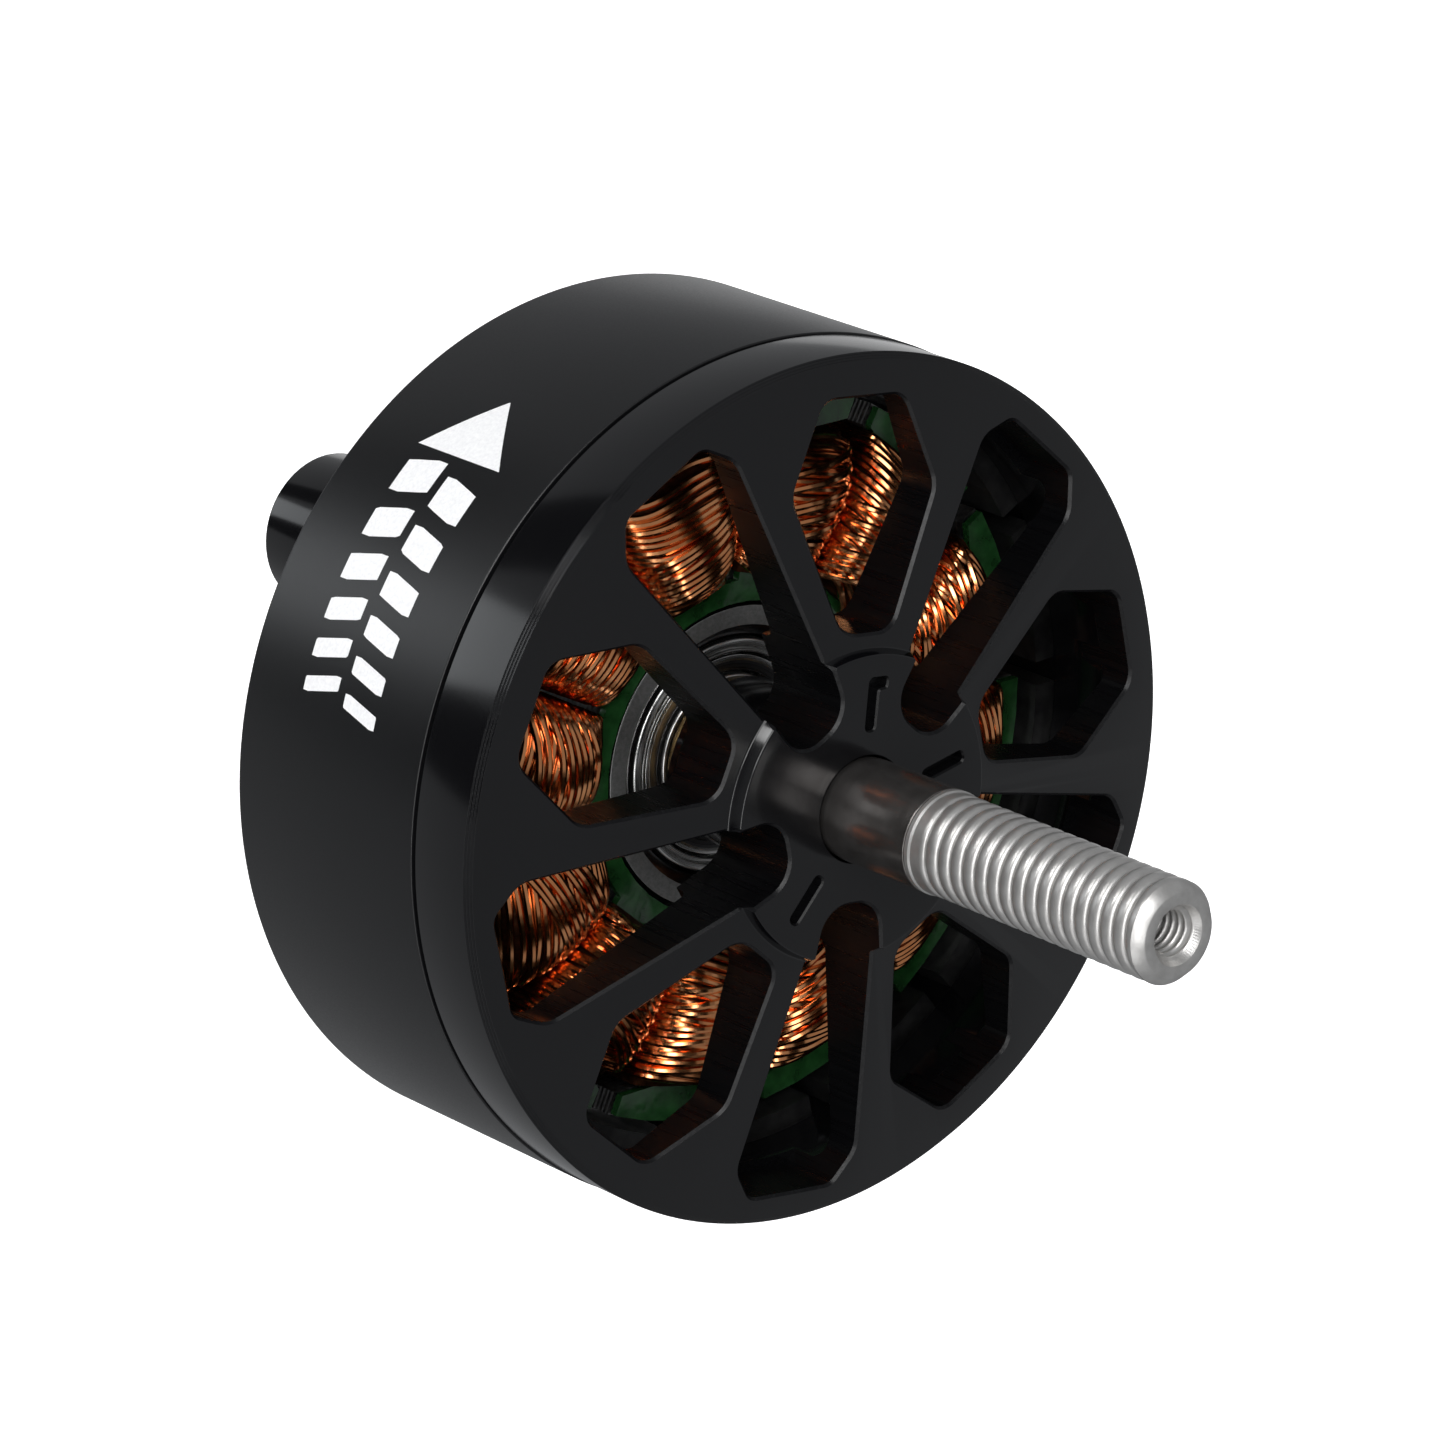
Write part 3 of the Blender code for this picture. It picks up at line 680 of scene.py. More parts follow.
def build_front_cap(materials):
    profile = rounded([
        (SHAFT_BORE_RADIUS, BOSS_BOTTOM_Z, 0.08), (SHAFT_BORE_RADIUS, HUB_FACE_Z, 0.06),
        (HUB_RADIUS - HUB_EDGE, HUB_FACE_Z, 0.15), (HUB_RADIUS, HUB_FOOT_Z, 0.15), *rim_grooves(),
        (BAND_RADIUS, CAN_TOP_Z + 0.2, 0.12), (BELL_LIP_RADIUS, CAN_TOP_Z + 0.2, 0.0),
        (BELL_LIP_RADIUS, BELL_LIP_Z, 0.1), (RIM_INNER_RADIUS + 0.15, BELL_LIP_Z, 0.05),
        (RIM_INNER_RADIUS + 0.15, RIM_WALL_BOTTOM_Z, 0.0), (RIM_INNER_RADIUS, RIM_WALL_BOTTOM_Z + 0.3, 0.0),
        (RIM_INNER_RADIUS, PLATE_UNDERSIDE_Z, 0.6), (HUB_UNDERSIDE_RADIUS, PLATE_UNDERSIDE_Z, 0.5),
        (HUB_UNDERSIDE_RADIUS, HUB_UNDERSIDE_Z, 0.15), (BELL_BOSS_RADIUS, HUB_UNDERSIDE_Z, 0.5),
        (BELL_BOSS_RADIUS, BOSS_BOTTOM_Z, 0.12),
    ], 5)
    vertices, faces = ring_mesh(profile, FINE)
    cap = make_object("front_cap", vertices, faces, (materials["black"],))
    window_floor = HUB_UNDERSIDE_Z - 1.1
    carve(cap, flared_cutter(
        "windows", window_outlines(), lambda z: window_floor, EDGE_CHAMFER,
        materials["wall"], materials["edge"],
    ))
    carve(cap, flared_cutter(
        "slots", slot_outlines(), lambda z: z - 0.6, SLOT_CHAMFER, materials["wall"], materials["wall"],
    ))
    return place(cap, "rotor", "black_anodised", "bell_cap")


# ---------------- can wall and its print
def build_can_wall(materials):
    inner = CAN_RADIUS - FLUX_WALL
    outer = CAN_RADIUS - 0.012
    profile = rounded([
        (inner, CAN_BOTTOM_Z, 0.1), (outer, CAN_BOTTOM_Z, 0.25),
        (outer, CAN_TOP_Z, 0.09), (inner, CAN_TOP_Z, 0.05),
    ], 5)
    vertices, faces = ring_mesh(profile, FINE)
    wall = make_object("can_wall", vertices, faces, (materials["satin"],))
    return place(wall, "rotor", "satin_black", "flux_ring")


def film_strip(columns):
    """A closed thin film round the can from (angle, low height, high height) columns."""
    outer, inner = CAN_RADIUS, CAN_RADIUS - 0.03
    loops = []
    for angle, low, high in columns:
        turn = math.radians(angle)
        corners = ((outer, low), (outer, high), (inner, high), (inner, low))
        loops.append([(radius * math.cos(turn), radius * math.sin(turn), z) for radius, z in corners])
    return loop_stack(loops)


def leaning_bar(left, right, bottom, top, lean):
    """A bar whose two ends lean; it is cut into columns so that it follows the curve."""
    columns = []
    steps = 16
    first, last = min(left, left + lean), max(right, right + lean)
    for step in range(steps + 1):
        angle = first + (last - first) * step / steps
        from_left = (angle - left) / lean
        from_right = (angle - right) / lean
        reach = sorted((min(1.0, max(0.0, from_left)), min(1.0, max(0.0, from_right))))
        low, high = reach
        if high - low > 0.02:
            columns.append((angle, bottom + (top - bottom) * low, bottom + (top - bottom) * high))
    return film_strip(columns)


def build_direction_print(materials):
    """A generic mark: an arrow for the direction of rotation with a row of leaning bars behind it."""
    head_tip, head_base, middle, half_head = -37.0, -27.0, 18.6, 3.6
    steps = 12
    head = []
    for step in range(steps + 1):
        part = max(0.01, step / steps)
        along = head_tip + (head_base - head_tip) * part
        head.append((along, middle - half_head * part, middle + half_head * part))
    patches = [film_strip(head)]
    start, gap, lean = -24.5, 2.4, 1.6
    near, far = 0.35, 3.3
    for width in (5.0, 4.2, 3.6, 3.0, 2.5, 2.0):
        patches.append(leaning_bar(start, start + width, middle + near, middle + far, lean))
        patches.append(leaning_bar(start, start + width, middle - far, middle - near, -lean))
        start += width + gap
    vertices, faces = joined(*patches)
    mark = make_object("direction_print", vertices, faces, (materials["print"],))
    return place(mark, "rotor", "satin_black")


# ---------------- shaft
def outer_thread_radius(phase, z, angle):
    """Wide rounded crests with narrow roots, fading out raggedly at the collar."""
    across = abs(2.0 * phase - 1.0)
    drop = 1.0 - math.sqrt(max(0.0, 1.0 - across ** 2.4))
    start = THREAD_START_Z + 1.0 + 0.12 * math.sin(5.0 * angle + 2.0) * math.sin(11.0 * angle)
    run_in = min(1.0, max(0.0, (z - start) / 0.8))
    return THREAD_CREST_RADIUS - THREAD_DEPTH * run_in * drop


def stitched_thread(radius_at, start_z, end_z, pitch, columns, per_pitch):
    """The thread as upright columns whose points sit at the same phases, so that the seam closes."""
    angles = np.linspace(0.0, 2.0 * math.pi, columns + 1)
    rows = (math.ceil((end_z - start_z) / pitch) + 1) * per_pitch + 1
    vertices = np.zeros((rows, columns + 1, 3))
    for column, angle in enumerate(angles):
        lift = angle / (2.0 * math.pi) - 1.0
        for row in range(rows):
            z = min(max(start_z + (row / per_pitch + lift) * pitch, start_z), end_z)
            phase = ((z - start_z) / pitch - angle / (2.0 * math.pi)) % 1.0
            radius = radius_at(phase, z, angle)
            vertices[row, column] = (radius * math.cos(angle), radius * math.sin(angle), z)
    faces = []
    for row in range(rows - 1):
        for column in range(columns):
            corner = row * (columns + 1) + column
            faces.append((corner, corner + 1, corner + columns + 2, corner + columns + 1))
    return vertices.reshape(-1, 3), faces


def open_ring(profile, segments=MEDIUM):
    """An open (radius, z) profile turned about the axis."""
    vertices, faces = ring_mesh(profile, segments)
    return vertices, faces[:(len(profile) - 1) * segments]


def build_shaft(materials):
    """Journal and plain length in polished steel painted dark as shade, then the rolled thread and the tapped
    tip.
    """
    relief_z = HUB_FACE_Z + 0.1
    plain = rounded([
        (1.9, SHAFT_BOTTOM_Z + 6.0, 0.0), (1.9, SHAFT_BOTTOM_Z, 0.15), (JOURNAL_RADIUS, SHAFT_BOTTOM_Z, 0.15),
        (JOURNAL_RADIUS, 22.6, 0.15), (SHAFT_RADIUS - 0.05, 22.6, 0.1), (SHAFT_RADIUS - 0.05, relief_z, 0.0),
        (SHAFT_RADIUS, relief_z + 0.05, 0.02), (SHAFT_RADIUS, THREAD_START_Z, 0.06),
        (2.4, THREAD_START_Z + 0.02, 0.0), (2.4, 30.0, 0.0), (1.9, 30.0, 0.0),
    ], 4)
    vertices, faces = ring_mesh(plain, MEDIUM)
    shaft = make_object("shaft", vertices, faces, (materials["polished"],))
    place(shaft, "rotor", "steel", "prop_shaft")

    thread_end = SHAFT_TIP_Z - TIP_CHAMFER
    collar = open_ring([
        (2.4, THREAD_START_Z + 0.03), (SHAFT_RADIUS - 0.06, THREAD_START_Z + 0.03),
        (SHAFT_RADIUS, THREAD_START_Z + 0.1),
        (SHAFT_RADIUS, THREAD_START_Z + 0.36), (THREAD_CREST_RADIUS, THREAD_START_Z + 0.5),
    ])
    helix = stitched_thread(outer_thread_radius, THREAD_START_Z + 0.5, thread_end, THREAD_PITCH, MEDIUM, 32)
    mouth_z = SHAFT_TIP_Z - 0.42
    tip = open_ring([
        (THREAD_CREST_RADIUS - 0.02, thread_end), (THREAD_CREST_RADIUS - 0.1, thread_end + 0.1),
        (THREAD_CREST_RADIUS - 0.48, SHAFT_TIP_Z - 0.05), (THREAD_CREST_RADIUS - 0.58, SHAFT_TIP_Z),
        (TAPPED_RADIUS + 0.3, SHAFT_TIP_Z), (TAPPED_RADIUS + 0.22, SHAFT_TIP_Z - 0.04),
        (TAPPED_RADIUS, mouth_z),
    ])
    floor_z = mouth_z - TAPPED_DEPTH
    tapped = stitched_thread(tapped_radius, floor_z, mouth_z, TAPPED_PITCH, 64, 10)
    bottom = open_ring([(TAPPED_RADIUS, floor_z), (0.0, floor_z - 0.7)])
    inside = open_ring([(0.0, floor_z - 0.7), (0.0, THREAD_START_Z + 0.03), (2.4, THREAD_START_Z + 0.03)])
    vertices, faces = joined(collar, helix, tip, tapped, bottom, inside)
    thread = make_object("shaft_thread", vertices, faces, (materials["thread"],))
    return place(thread, "rotor", "steel")


def tapped_radius(phase, z, angle):
    """The inside thread: crests pointing inwards, flat at the mouth."""
    mouth_z = SHAFT_TIP_Z - 0.42
    fade = min(1.0, max(0.0, (mouth_z - z) / 0.3))
    return TAPPED_RADIUS - 0.3 * fade * (1.0 - abs(2.0 * phase - 1.0) ** 2)


# ---------------- small turned pieces
def build_ring(name, profile, material, body, slot_name, nodes, segments=MEDIUM):
    vertices, faces = ring_mesh(rounded(profile, 4), segments)
    piece = make_object(name, vertices, faces, (material,))
    return place(piece, body, slot_name, *nodes)


def box_ring(inner, outer, bottom, top, radius=0.06):
    return [(inner, bottom, radius), (outer, bottom, radius), (outer, top, radius), (inner, top, radius)]


def build_bearing(end, materials):
    """Races, balls in their cage, and pressed shields with a bright crimped rim."""
    node = f"{end}_bearing_"
    low, high = bottom_z(node + "outer_race"), top_z(node + "outer_race")
    inner, outer = RACE_INNER_RADII, RACE_OUTER_RADII
    groove = [
        (outer[0], low, 0.05), (outer[1], low, 0.18), (outer[1], high, 0.18), (outer[0] + 0.34, high, 0.05),
        (outer[0] + 0.3, high - 0.3, 0.0), (outer[0] + 0.16, high - 0.3, 0.0),
        (outer[0] + 0.14, high - 0.05, 0.03),
        (outer[0], high - 0.05, 0.03),
    ]
    build_ring(f"{end}_outer_race", groove, materials["race"], "stator", "steel", [node + "outer_race"])
    build_ring(
        f"{end}_inner_race", box_ring(*inner, low, high, 0.12), materials["race"], "rotor", "steel",
        [node + "inner_race"],
    )
    for side in ("top", "bottom"):
        shield = f"{node}shield_{side}"
        base, peak = bottom_z(shield), top_z(shield)
        dish = [
            (4.95, base + 0.1, 0.03), (5.5, base + 0.1, 0.03), (5.6, base, 0.03), (5.85, base, 0.03),
            (5.85, peak, 0.05), (5.62, peak, 0.05), (5.5, peak - 0.06, 0.03), (4.95, peak - 0.06, 0.03),
        ]
        piece = build_ring(f"{end}_shield_{side}", dish, materials["shield"], "stator", "shield", [shield])
        repaint(piece, materials["race"], lambda centre: math.hypot(centre.x, centre.y) / MM > 5.52)
    build_cage(end, materials)


def build_cage(end, materials):
    """The cage ring with nine steel balls in it."""
    node = f"{end}_ball_cage"
    middle = (bottom_z(node) + top_z(node)) / 2.0
    ring = ring_mesh(rounded(box_ring(5.12, 5.68, middle - 0.3, middle + 0.3, 0.1), 3), MEDIUM)
    cage = make_object(f"{end}_cage_balls", *ring, (materials["race"],))
    arc = 12
    profile = [
        (
            max(1e-4, BALL_RADIUS * math.sin(math.pi * step / arc)),
            middle + BALL_RADIUS * math.cos(math.pi * step / arc),
        )
        for step in range(arc + 1)
    ]
    balls = []
    for ball in range(BALL_COUNT):
        turn = 2.0 * math.pi * ball / BALL_COUNT
        centre = (BALL_PITCH_RADIUS * math.cos(turn), BALL_PITCH_RADIUS * math.sin(turn))
        balls.append(ring_mesh(profile, 20, centre))
    carve(cage, make_object("balls", *joined(*balls), (materials["race"],)), "UNION")
    return place(cage, f"{end}_cage", "steel", node)


def build_small_parts(materials):
    low, high = bottom_z("front_spacer"), top_z("front_spacer")
    spacer = box_ring(3.35, 4.65, low, high, 0.1)
    build_ring("spacer", spacer, materials["brass"], "rotor", "brass", ["front_spacer"])
    low, high = bottom_z("rear_washer"), top_z("rear_washer")
    washer = box_ring(1.85, 4.6, low, high, 0.12)
    build_ring("washer", washer, materials["race"], "rotor", "steel", ["rear_washer"])
    low, high = bottom_z("retaining_screw"), top_z("retaining_screw")
    head = [
        (0.02, low, 0.0), (2.6, low, 0.25), (2.75, low + 1.65, 0.1), (1.5, low + 1.65, 0.1),
        (1.5, high, 0.2), (0.02, high, 0.0),
    ]
    vertices, faces = ring_mesh(rounded(head, 4), 96)
    screw = make_object("shaft_screw", vertices, faces, (materials["screw"],))
    sides = 6
    hexagon = [(1.15 * math.cos(math.pi * s / 3), 1.15 * math.sin(math.pi * s / 3)) for s in range(sides)]
    loops = [[(x, y, z) for x, y in hexagon] for z in (low - 0.5, low + 1.1)]
    carve(screw, make_object("socket", *loop_stack(loops), (materials["screw"],)))
    place(screw, "rotor", "steel", "retaining_screw")


# ---------------- windings
def lobe_overhang(distance):
    places, heights = zip(*LOBE_STATIONS)
    return np.interp(distance, places, heights)


def loop_points(distance, inset, lift, lean, bulge, wobble, points=30):
    """One turn round a tooth as (along the tooth, sideways, height) points, closed."""
    turn = np.linspace(0.0, math.pi, points)
    side, rise = np.cos(turn), np.sin(turn)
    exponent = 2.0 / 2.25
    across = np.sign(side) * np.abs(side) ** exponent
    along = distance + lean * side + bulge * rise + wobble(turn)
    along = np.clip(along, LOBE_STATIONS[0][0], LOBE_STATIONS[-1][0])
    half_width = np.minimum(along * math.tan(math.pi / TOOTH_COUNT) - LOBE_GAP, LOBE_HALF_WIDTH) - inset
    height = (lobe_overhang(along) - inset + lift * rise) * rise ** exponent
    top = np.stack([along, half_width * across, CORE_TOP_Z + height], axis=1)
    bottom = np.stack([along, half_width * across, CORE_BOTTOM_Z - height], axis=1)
    return np.concatenate([top, bottom[::-1]])


def wire_tube(path, radius, sides=8):
    """A closed tube round a closed path."""
    ahead = np.roll(path, -1, axis=0) - np.roll(path, 1, axis=0)
    ahead /= np.linalg.norm(ahead, axis=1, keepdims=True)
    outward = np.tile((1.0, 0.0, 0.0), (len(path), 1))
    outward -= ahead * np.sum(outward * ahead, axis=1, keepdims=True)
    outward /= np.linalg.norm(outward, axis=1, keepdims=True)
    across = np.cross(ahead, outward)
    angles = np.linspace(0.0, 2.0 * math.pi, sides, endpoint=False)
    rings = path[:, None] + radius * (
        np.cos(angles)[None, :, None] * outward[:, None] + np.sin(angles)[None, :, None] * across[:, None]
    )
    count = len(path)
    faces = []
    for row in range(count):
        first, second = row * sides, (row + 1) % count * sides
        for step in range(sides):
            after = (step + 1) % sides
            faces.append((first + step, first + after, second + after, second + step))
    return rings.reshape(-1, 3), faces


def wobble_for(draw, size):
    """A smooth random sideways drift along a turn."""
    waves = [(draw.uniform(-1.0, 1.0), draw.uniform(0.6, 3.4), draw.uniform(0.0, 6.3)) for _ in range(3)]
    return lambda turn: size * sum(weight * np.sin(rate * turn + phase) for weight, rate, phase in waves)


def build_winding(index, materials):
    """A buried bundle, a full outer layer of turns, and a few turns that cross over it."""
    draw = random.Random(400 + index)
    still = lambda turn: 0.0 * turn
    stations = np.linspace(LOBE_STATIONS[0][0] + 0.3, LOBE_STATIONS[-1][0] - 0.3, 16)
    bundle = loop_stack([loop_points(place_on, 0.55, 0.0, 0.0, 0.0, still) for place_on in stations])
    wires = []
    lean = draw.uniform(0.5, 1.0) * draw.choice((-1.0, 1.0))
    bulge = draw.uniform(-0.3, 0.5)
    shared = wobble_for(draw, 0.16)
    first, last, pitch = LOBE_STATIONS[0][0] + 0.35, LOBE_STATIONS[-1][0] - 0.25, 2.0 * WIRE_RADIUS * 0.98
    distance = first
    while distance < last:
        own = wobble_for(draw, 0.07)
        path = loop_points(
            distance, WIRE_RADIUS + draw.uniform(0.0, 0.1), 0.0, lean, bulge,
            lambda turn: shared(turn) + own(turn),
        )
        wires.append(wire_tube(path, WIRE_RADIUS))
        distance += pitch
    crossing_lean = -lean * draw.uniform(0.7, 1.3)
    distance = draw.uniform(12.0, 13.6)
    for _ in range(draw.randint(6, 9)):
        own = wobble_for(draw, 0.1)
        path = loop_points(distance, WIRE_RADIUS * 0.9, 0.22, crossing_lean, -bulge, own)
        wires.append(wire_tube(path, WIRE_RADIUS))
        distance += pitch * draw.choice((1.0, 1.1, 1.3, 1.9))
    meshes = [bundle] + wires
    vertices, faces = joined(*meshes)
    angle = math.radians(TOOTH_ANGLE + 360.0 * index / TOOTH_COUNT)
    spin = np.array(Matrix.Rotation(angle, 3, "Z"))
    # The buried bundle takes the copper painted dark as shade; the outer turns take the enamelled copper.
    groups = [0] * len(bundle[1]) + [1] * (len(faces) - len(bundle[1]))
    winding = make_object(
        f"winding_{index + 1:02d}", vertices @ spin.T, faces,
        (materials["painted_shade_copper"], materials["copper"]), groups,
    )
    return place(winding, "stator", "enamelled_copper", f"coil_{index + 1:02d}")


# ---------------- base
def spider_outline():
    """The base plate seen from above: a hub with four round-ended arms."""
    outline = []
    half_arm = ARM_WIDTH / 2.0
    root = math.degrees(math.asin(half_arm / BASE_HUB_RADIUS))
    gap = 360.0 / POST_COUNT - 2.0 * root
    start = BASE_HUB_RADIUS * math.cos(math.radians(root))
    for post in range(POST_COUNT):
        centre = POST_ANGLE + 360.0 * post / POST_COUNT
        arm = [(start, -half_arm)]
        for step in range(33):
            turn = math.pi * (step / 32 - 0.5)
            arm.append((MOUNT_CIRCLE_RADIUS + half_arm * math.cos(turn), half_arm * math.sin(turn)))
        arm.append((start, half_arm))
        outline += turned(arm, centre)
        gap_from = centre + root
        outline += [turned([(BASE_HUB_RADIUS, 0.0)], gap_from + gap * step / 17)[0] for step in range(1, 17)]
    return outline


def build_base(materials):
    black = materials["base"]
    profile = rounded([
        (6.3, BASE_PLATE_Z[0], 0.15), (TUBE_RADIUS + 1.2, BASE_PLATE_Z[0], 0.15),
        (TUBE_RADIUS + 1.2, 7.4, 0.15),
        (TUBE_RADIUS, 8.0, 0.2), (TUBE_RADIUS, TUBE_TOP_Z, 0.12), (TUBE_RIM_RADIUS, TUBE_TOP_Z, 0.05),
        (SEAT_RADIUS, TUBE_TOP_Z - 0.5, 0.05), (SEAT_RADIUS, 18.5, 0.0), (TUBE_BORE_RADIUS, 18.5, 0.0),
        (TUBE_BORE_RADIUS, 8.8, 0.0), (SEAT_RADIUS, 8.8, 0.0), (SEAT_RADIUS, 4.4, 0.0), (6.3, 4.4, 0.1),
    ], 4)
    base = make_object("base", *ring_mesh(profile, MEDIUM), (black,))
    loops = [[(x, y, z) for x, y in spider_outline()] for z in (BASE_PLATE_Z[0] + 0.1, BASE_PLATE_Z[1])]
    spider = make_object("spider", *loop_stack(loops), (black,))
    bore = ring_mesh([(0.01, 0.0), (8.4, 0.0), (8.4, 9.0), (0.01, 9.0)])
    carve(spider, make_object("bore", *bore, (black,)))
    carve(base, spider, "UNION")
    posts, holes = [], []
    for post in range(POST_COUNT):
        centre = turned([(MOUNT_CIRCLE_RADIUS, 0.0)], POST_ANGLE + 360.0 * post / POST_COUNT)[0]
        posts.append(ring_mesh(rounded([
            (0.01, 0.0, 0.0), (POST_RADIUS, 0.0, 0.16), (POST_RADIUS, BASE_PLATE_Z[1] + 0.05, 0.3),
            (0.01, BASE_PLATE_Z[1] + 0.05, 0.0),
        ], 4), 96, centre))
        holes.append(ring_mesh([
            (0.01, -1.0), (SCREW_HOLE_RADIUS + 1.25, -1.0), (SCREW_HOLE_RADIUS, 0.25),
            (SCREW_HOLE_RADIUS, SCREW_HOLE_DEPTH), (0.01, SCREW_HOLE_DEPTH + 0.5),
        ], 48, centre))
    carve(base, make_object("posts", *joined(*posts), (black,)), "UNION")
    carve(base, make_object("holes", *joined(*holes), (materials["bare"],)))
    repaint(base, materials["rim"], lambda centre: centre.z / MM > TUBE_TOP_Z - 0.04)
    return place(base, "stator", "black_anodised", "mounting_base")


# ---------------- nodes kept from the frame
def finish_nodes(materials):
    """CAD nodes whose shape stays: each gets its procedural material and softened edges."""
    kept = {
        "stator_core": "lamination", "insulation_front": "epoxy", "insulation_rear": "epoxy",
        "wire_outlet": "rubber",
    }
    widths = {"stator_core": 0.08, "insulation_front": 0.2, "insulation_rear": 0.2, "wire_outlet": 0.3}
    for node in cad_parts:
        if node.startswith("magnet_"):
            kept[node] = "magnet"
            widths[node] = 0.2
    for node, key in kept.items():
        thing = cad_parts[node]
        thing.data.materials.clear()
        thing.data.materials.append(materials[key])
        shade(thing.data)
        soften(thing, widths[node], 3)


# ---------------- studio
CAMERA_PLACE = Vector((0.281926, -0.022188, 0.321841))
CAMERA_RIGHT = Vector((-0.702296, -0.317256, 0.637280))
CAMERA_UP = Vector((0.199277, -0.947027, -0.251850))
CAMERA_LENS = 181.45
LIGHT_TARGET = Vector((0.0, 0.0, 0.026))
STUDIO_GREY = 0.3
FLAG_HEADINGS = (-41.5, 18.5)
FLAG_HALF_WIDTH = 12.0
FLAG_CEILING = -0.3
FLAG_DARKNESS = 0.9

# name, towards, distance, width, height, brightness and, where it isn't white, colour
SOFTBOXES = (
    ("front", (0.0, 0.3, 0.95), 0.7, 0.5, 0.26, 7.5),
    ("front_low", (-0.1, -0.37, 0.92), 0.7, 0.4, 0.22, 4.5),
    ("key", (-0.55, 0.65, 0.52), 0.7, 0.2, 0.2, 9.0),
    ("rim", (-0.912, 0.403, -0.064), 0.6, 0.16, 0.5, 1.5, (0.93, 0.97, 1.0)),
    ("low", (-0.3, -0.9, 0.5), 0.6, 0.4, 0.3, 1.2),
    ("back", (0.06, 0.283, -0.956), 0.6, 0.3, 0.5, 0.42),
)


def camera_rotation():
    right = CAMERA_RIGHT.normalized()
    back = right.cross(CAMERA_UP).normalized()
    up = back.cross(right)
    return Matrix((right, up, back)).transposed()


def build_camera():
    data = bpy.data.cameras.new("camera")
    data.lens = CAMERA_LENS
    data.sensor_width = 36.0
    data.clip_start, data.clip_end = 0.01, 20.0
    camera = bpy.data.objects.new("camera", data)
    bpy.context.scene.collection.objects.link(camera)
    camera.matrix_world = Matrix.Translation(CAMERA_PLACE) @ camera_rotation().to_4x4()
    bpy.context.scene.camera = camera


def add_softbox(name, towards, distance, width, height, brightness, colour=(1.0, 1.0, 1.0)):
    """A rectangular light of even brightness; towards is (right, up, nearer) in the camera's view."""
    data = bpy.data.lights.new(name, "AREA")
    data.shape = "RECTANGLE"
    data.size, data.size_y = width, height
    data.energy = brightness * math.pi * width * height
    data.color = colour
    light = bpy.data.objects.new(name, data)
    bpy.context.scene.collection.objects.link(light)
    direction = (camera_rotation() @ Vector(towards)).normalized()
    light.location = LIGHT_TARGET + direction * distance
    light.rotation_mode = "QUATERNION"
    light.rotation_quaternion = (-direction).to_track_quat("-Z", "Y")
    light.visible_camera = False
    return light


def backdrop_material():
    material, tree, shader = new_material("backdrop", (0.9, 0.9, 0.9), 0.0, 0.9)
    shader.inputs["Emission Color"].default_value = (1.0, 1.0, 1.0, 1.0)
    shader.inputs["Emission Strength"].default_value = 0.97
    grain = noise(tree, mm_position(tree), 0.05, 2.0)
    tint(tree, shader, grain, (0.88, 0.88, 0.88), (0.92, 0.92, 0.92))
    return material


def build_stage():
    """A plain pale floor and a pale dome round it; neither shows in the gloss of the motor."""
    material = backdrop_material()
    half = 1900.0
    corners = [(-half, -half, -0.05), (half, -half, -0.05), (half, half, -0.05), (-half, half, -0.05)]
    floor = make_object("floor", corners, [(0, 1, 2, 3)], (material,))
    dome_work = bmesh.new()
    bmesh.ops.create_uvsphere(dome_work, u_segments=48, v_segments=24, radius=2.0)
    dome_mesh = bpy.data.meshes.new("dome")
    dome_work.to_mesh(dome_mesh)
    dome_work.free()
    dome = bpy.data.objects.new("dome", dome_mesh)
    bpy.context.scene.collection.objects.link(dome)
    dome_mesh.materials.append(material)
    for thing in (floor, dome):
        thing.visible_glossy = False
        thing.visible_diffuse = False
        thing.visible_shadow = False


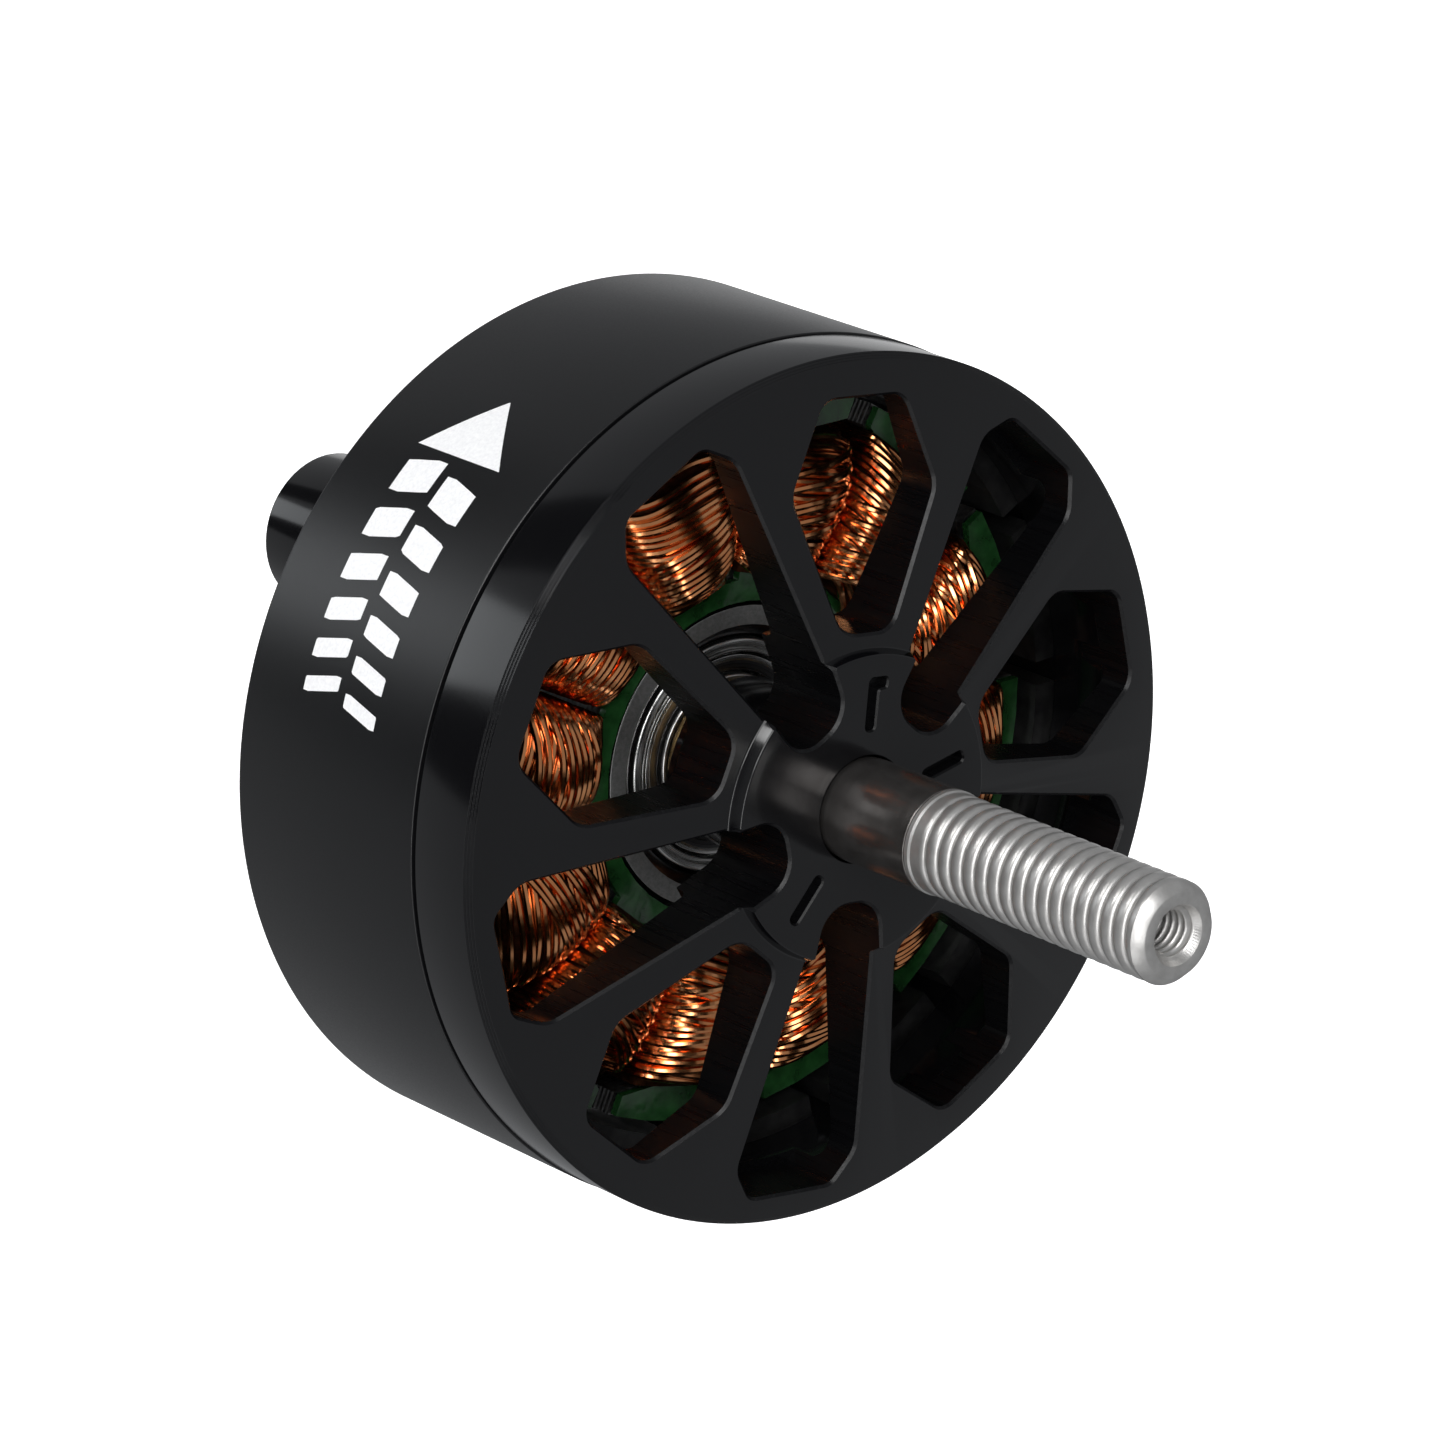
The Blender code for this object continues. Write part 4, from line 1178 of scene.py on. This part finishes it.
def studio_brightness(tree):
    """Even grey all round, with two dark flags below on either side of the rim light."""
    parts = tree.nodes.new("ShaderNodeSeparateXYZ")
    tree.links.new(tree.nodes.new("ShaderNodeTexCoord").outputs["Generated"], parts.inputs["Vector"])
    heading = maths(tree, "ARCTAN2", parts.outputs["Y"], parts.outputs["X"])
    flags = None
    for centre in FLAG_HEADINGS:
        distance = maths(tree, "ABSOLUTE", maths(tree, "SUBTRACT", heading, math.radians(centre)))
        flag = maths(tree, "LESS_THAN", distance, math.radians(FLAG_HALF_WIDTH))
        flags = flag if flags is None else maths(tree, "ADD", flags, flag)
    below = maths(tree, "LESS_THAN", parts.outputs["Z"], FLAG_CEILING)
    shaded = maths(tree, "MULTIPLY", maths(tree, "MULTIPLY", flags, below), FLAG_DARKNESS)
    kept = maths(tree, "SUBTRACT", 1.0, shaded)
    return maths(tree, "MULTIPLY", kept, STUDIO_GREY)


def build_light():
    scene = bpy.context.scene
    scene.view_settings.view_transform = "Standard"
    world = bpy.data.worlds.new("studio")
    scene.world = world
    world.use_nodes = True
    tree = world.node_tree
    background = tree.nodes["Background"]
    background.inputs["Color"].default_value = (0.95, 0.97, 1.0, 1.0)
    tree.links.new(studio_brightness(tree), background.inputs["Strength"])
    for softbox in SOFTBOXES:
        add_softbox(*softbox)


# ---------------- everything
def main():
    materials = {
        "black": anodised_black(), "satin": anodised_satin(), "wall": milled_wall(), "edge": milled_edge(),
        "base": anodised_black(), "rim": machined_rim(),
        "bare": ground_steel("bare_aluminium", (0.35, 0.35, 0.36), 0.35),
        "thread": thread_steel(), "polished": polished_steel(), "race": ground_steel(),
        "shield": ground_steel("shield_steel", (0.14, 0.14, 0.145), 0.3),
        "screw": ground_steel("screw_steel", (0.08, 0.08, 0.085), 0.3),
        "copper": enamelled_copper(), "painted_shade_copper": painted_shade_copper(), "epoxy": green_epoxy(),
        "lamination": laminated_steel(), "magnet": nickel_magnet(), "brass": turned_brass(),
        "rubber": moulded_rubber(), "print": print_white(),
    }
    build_camera()
    build_front_cap(materials)
    build_can_wall(materials)
    build_direction_print(materials)
    build_shaft(materials)
    build_small_parts(materials)
    for end in ("front", "rear"):
        build_bearing(end, materials)
    for index in range(TOOTH_COUNT):
        build_winding(index, materials)
    build_base(materials)
    finish_nodes(materials)
    build_stage()
    build_light()


main()
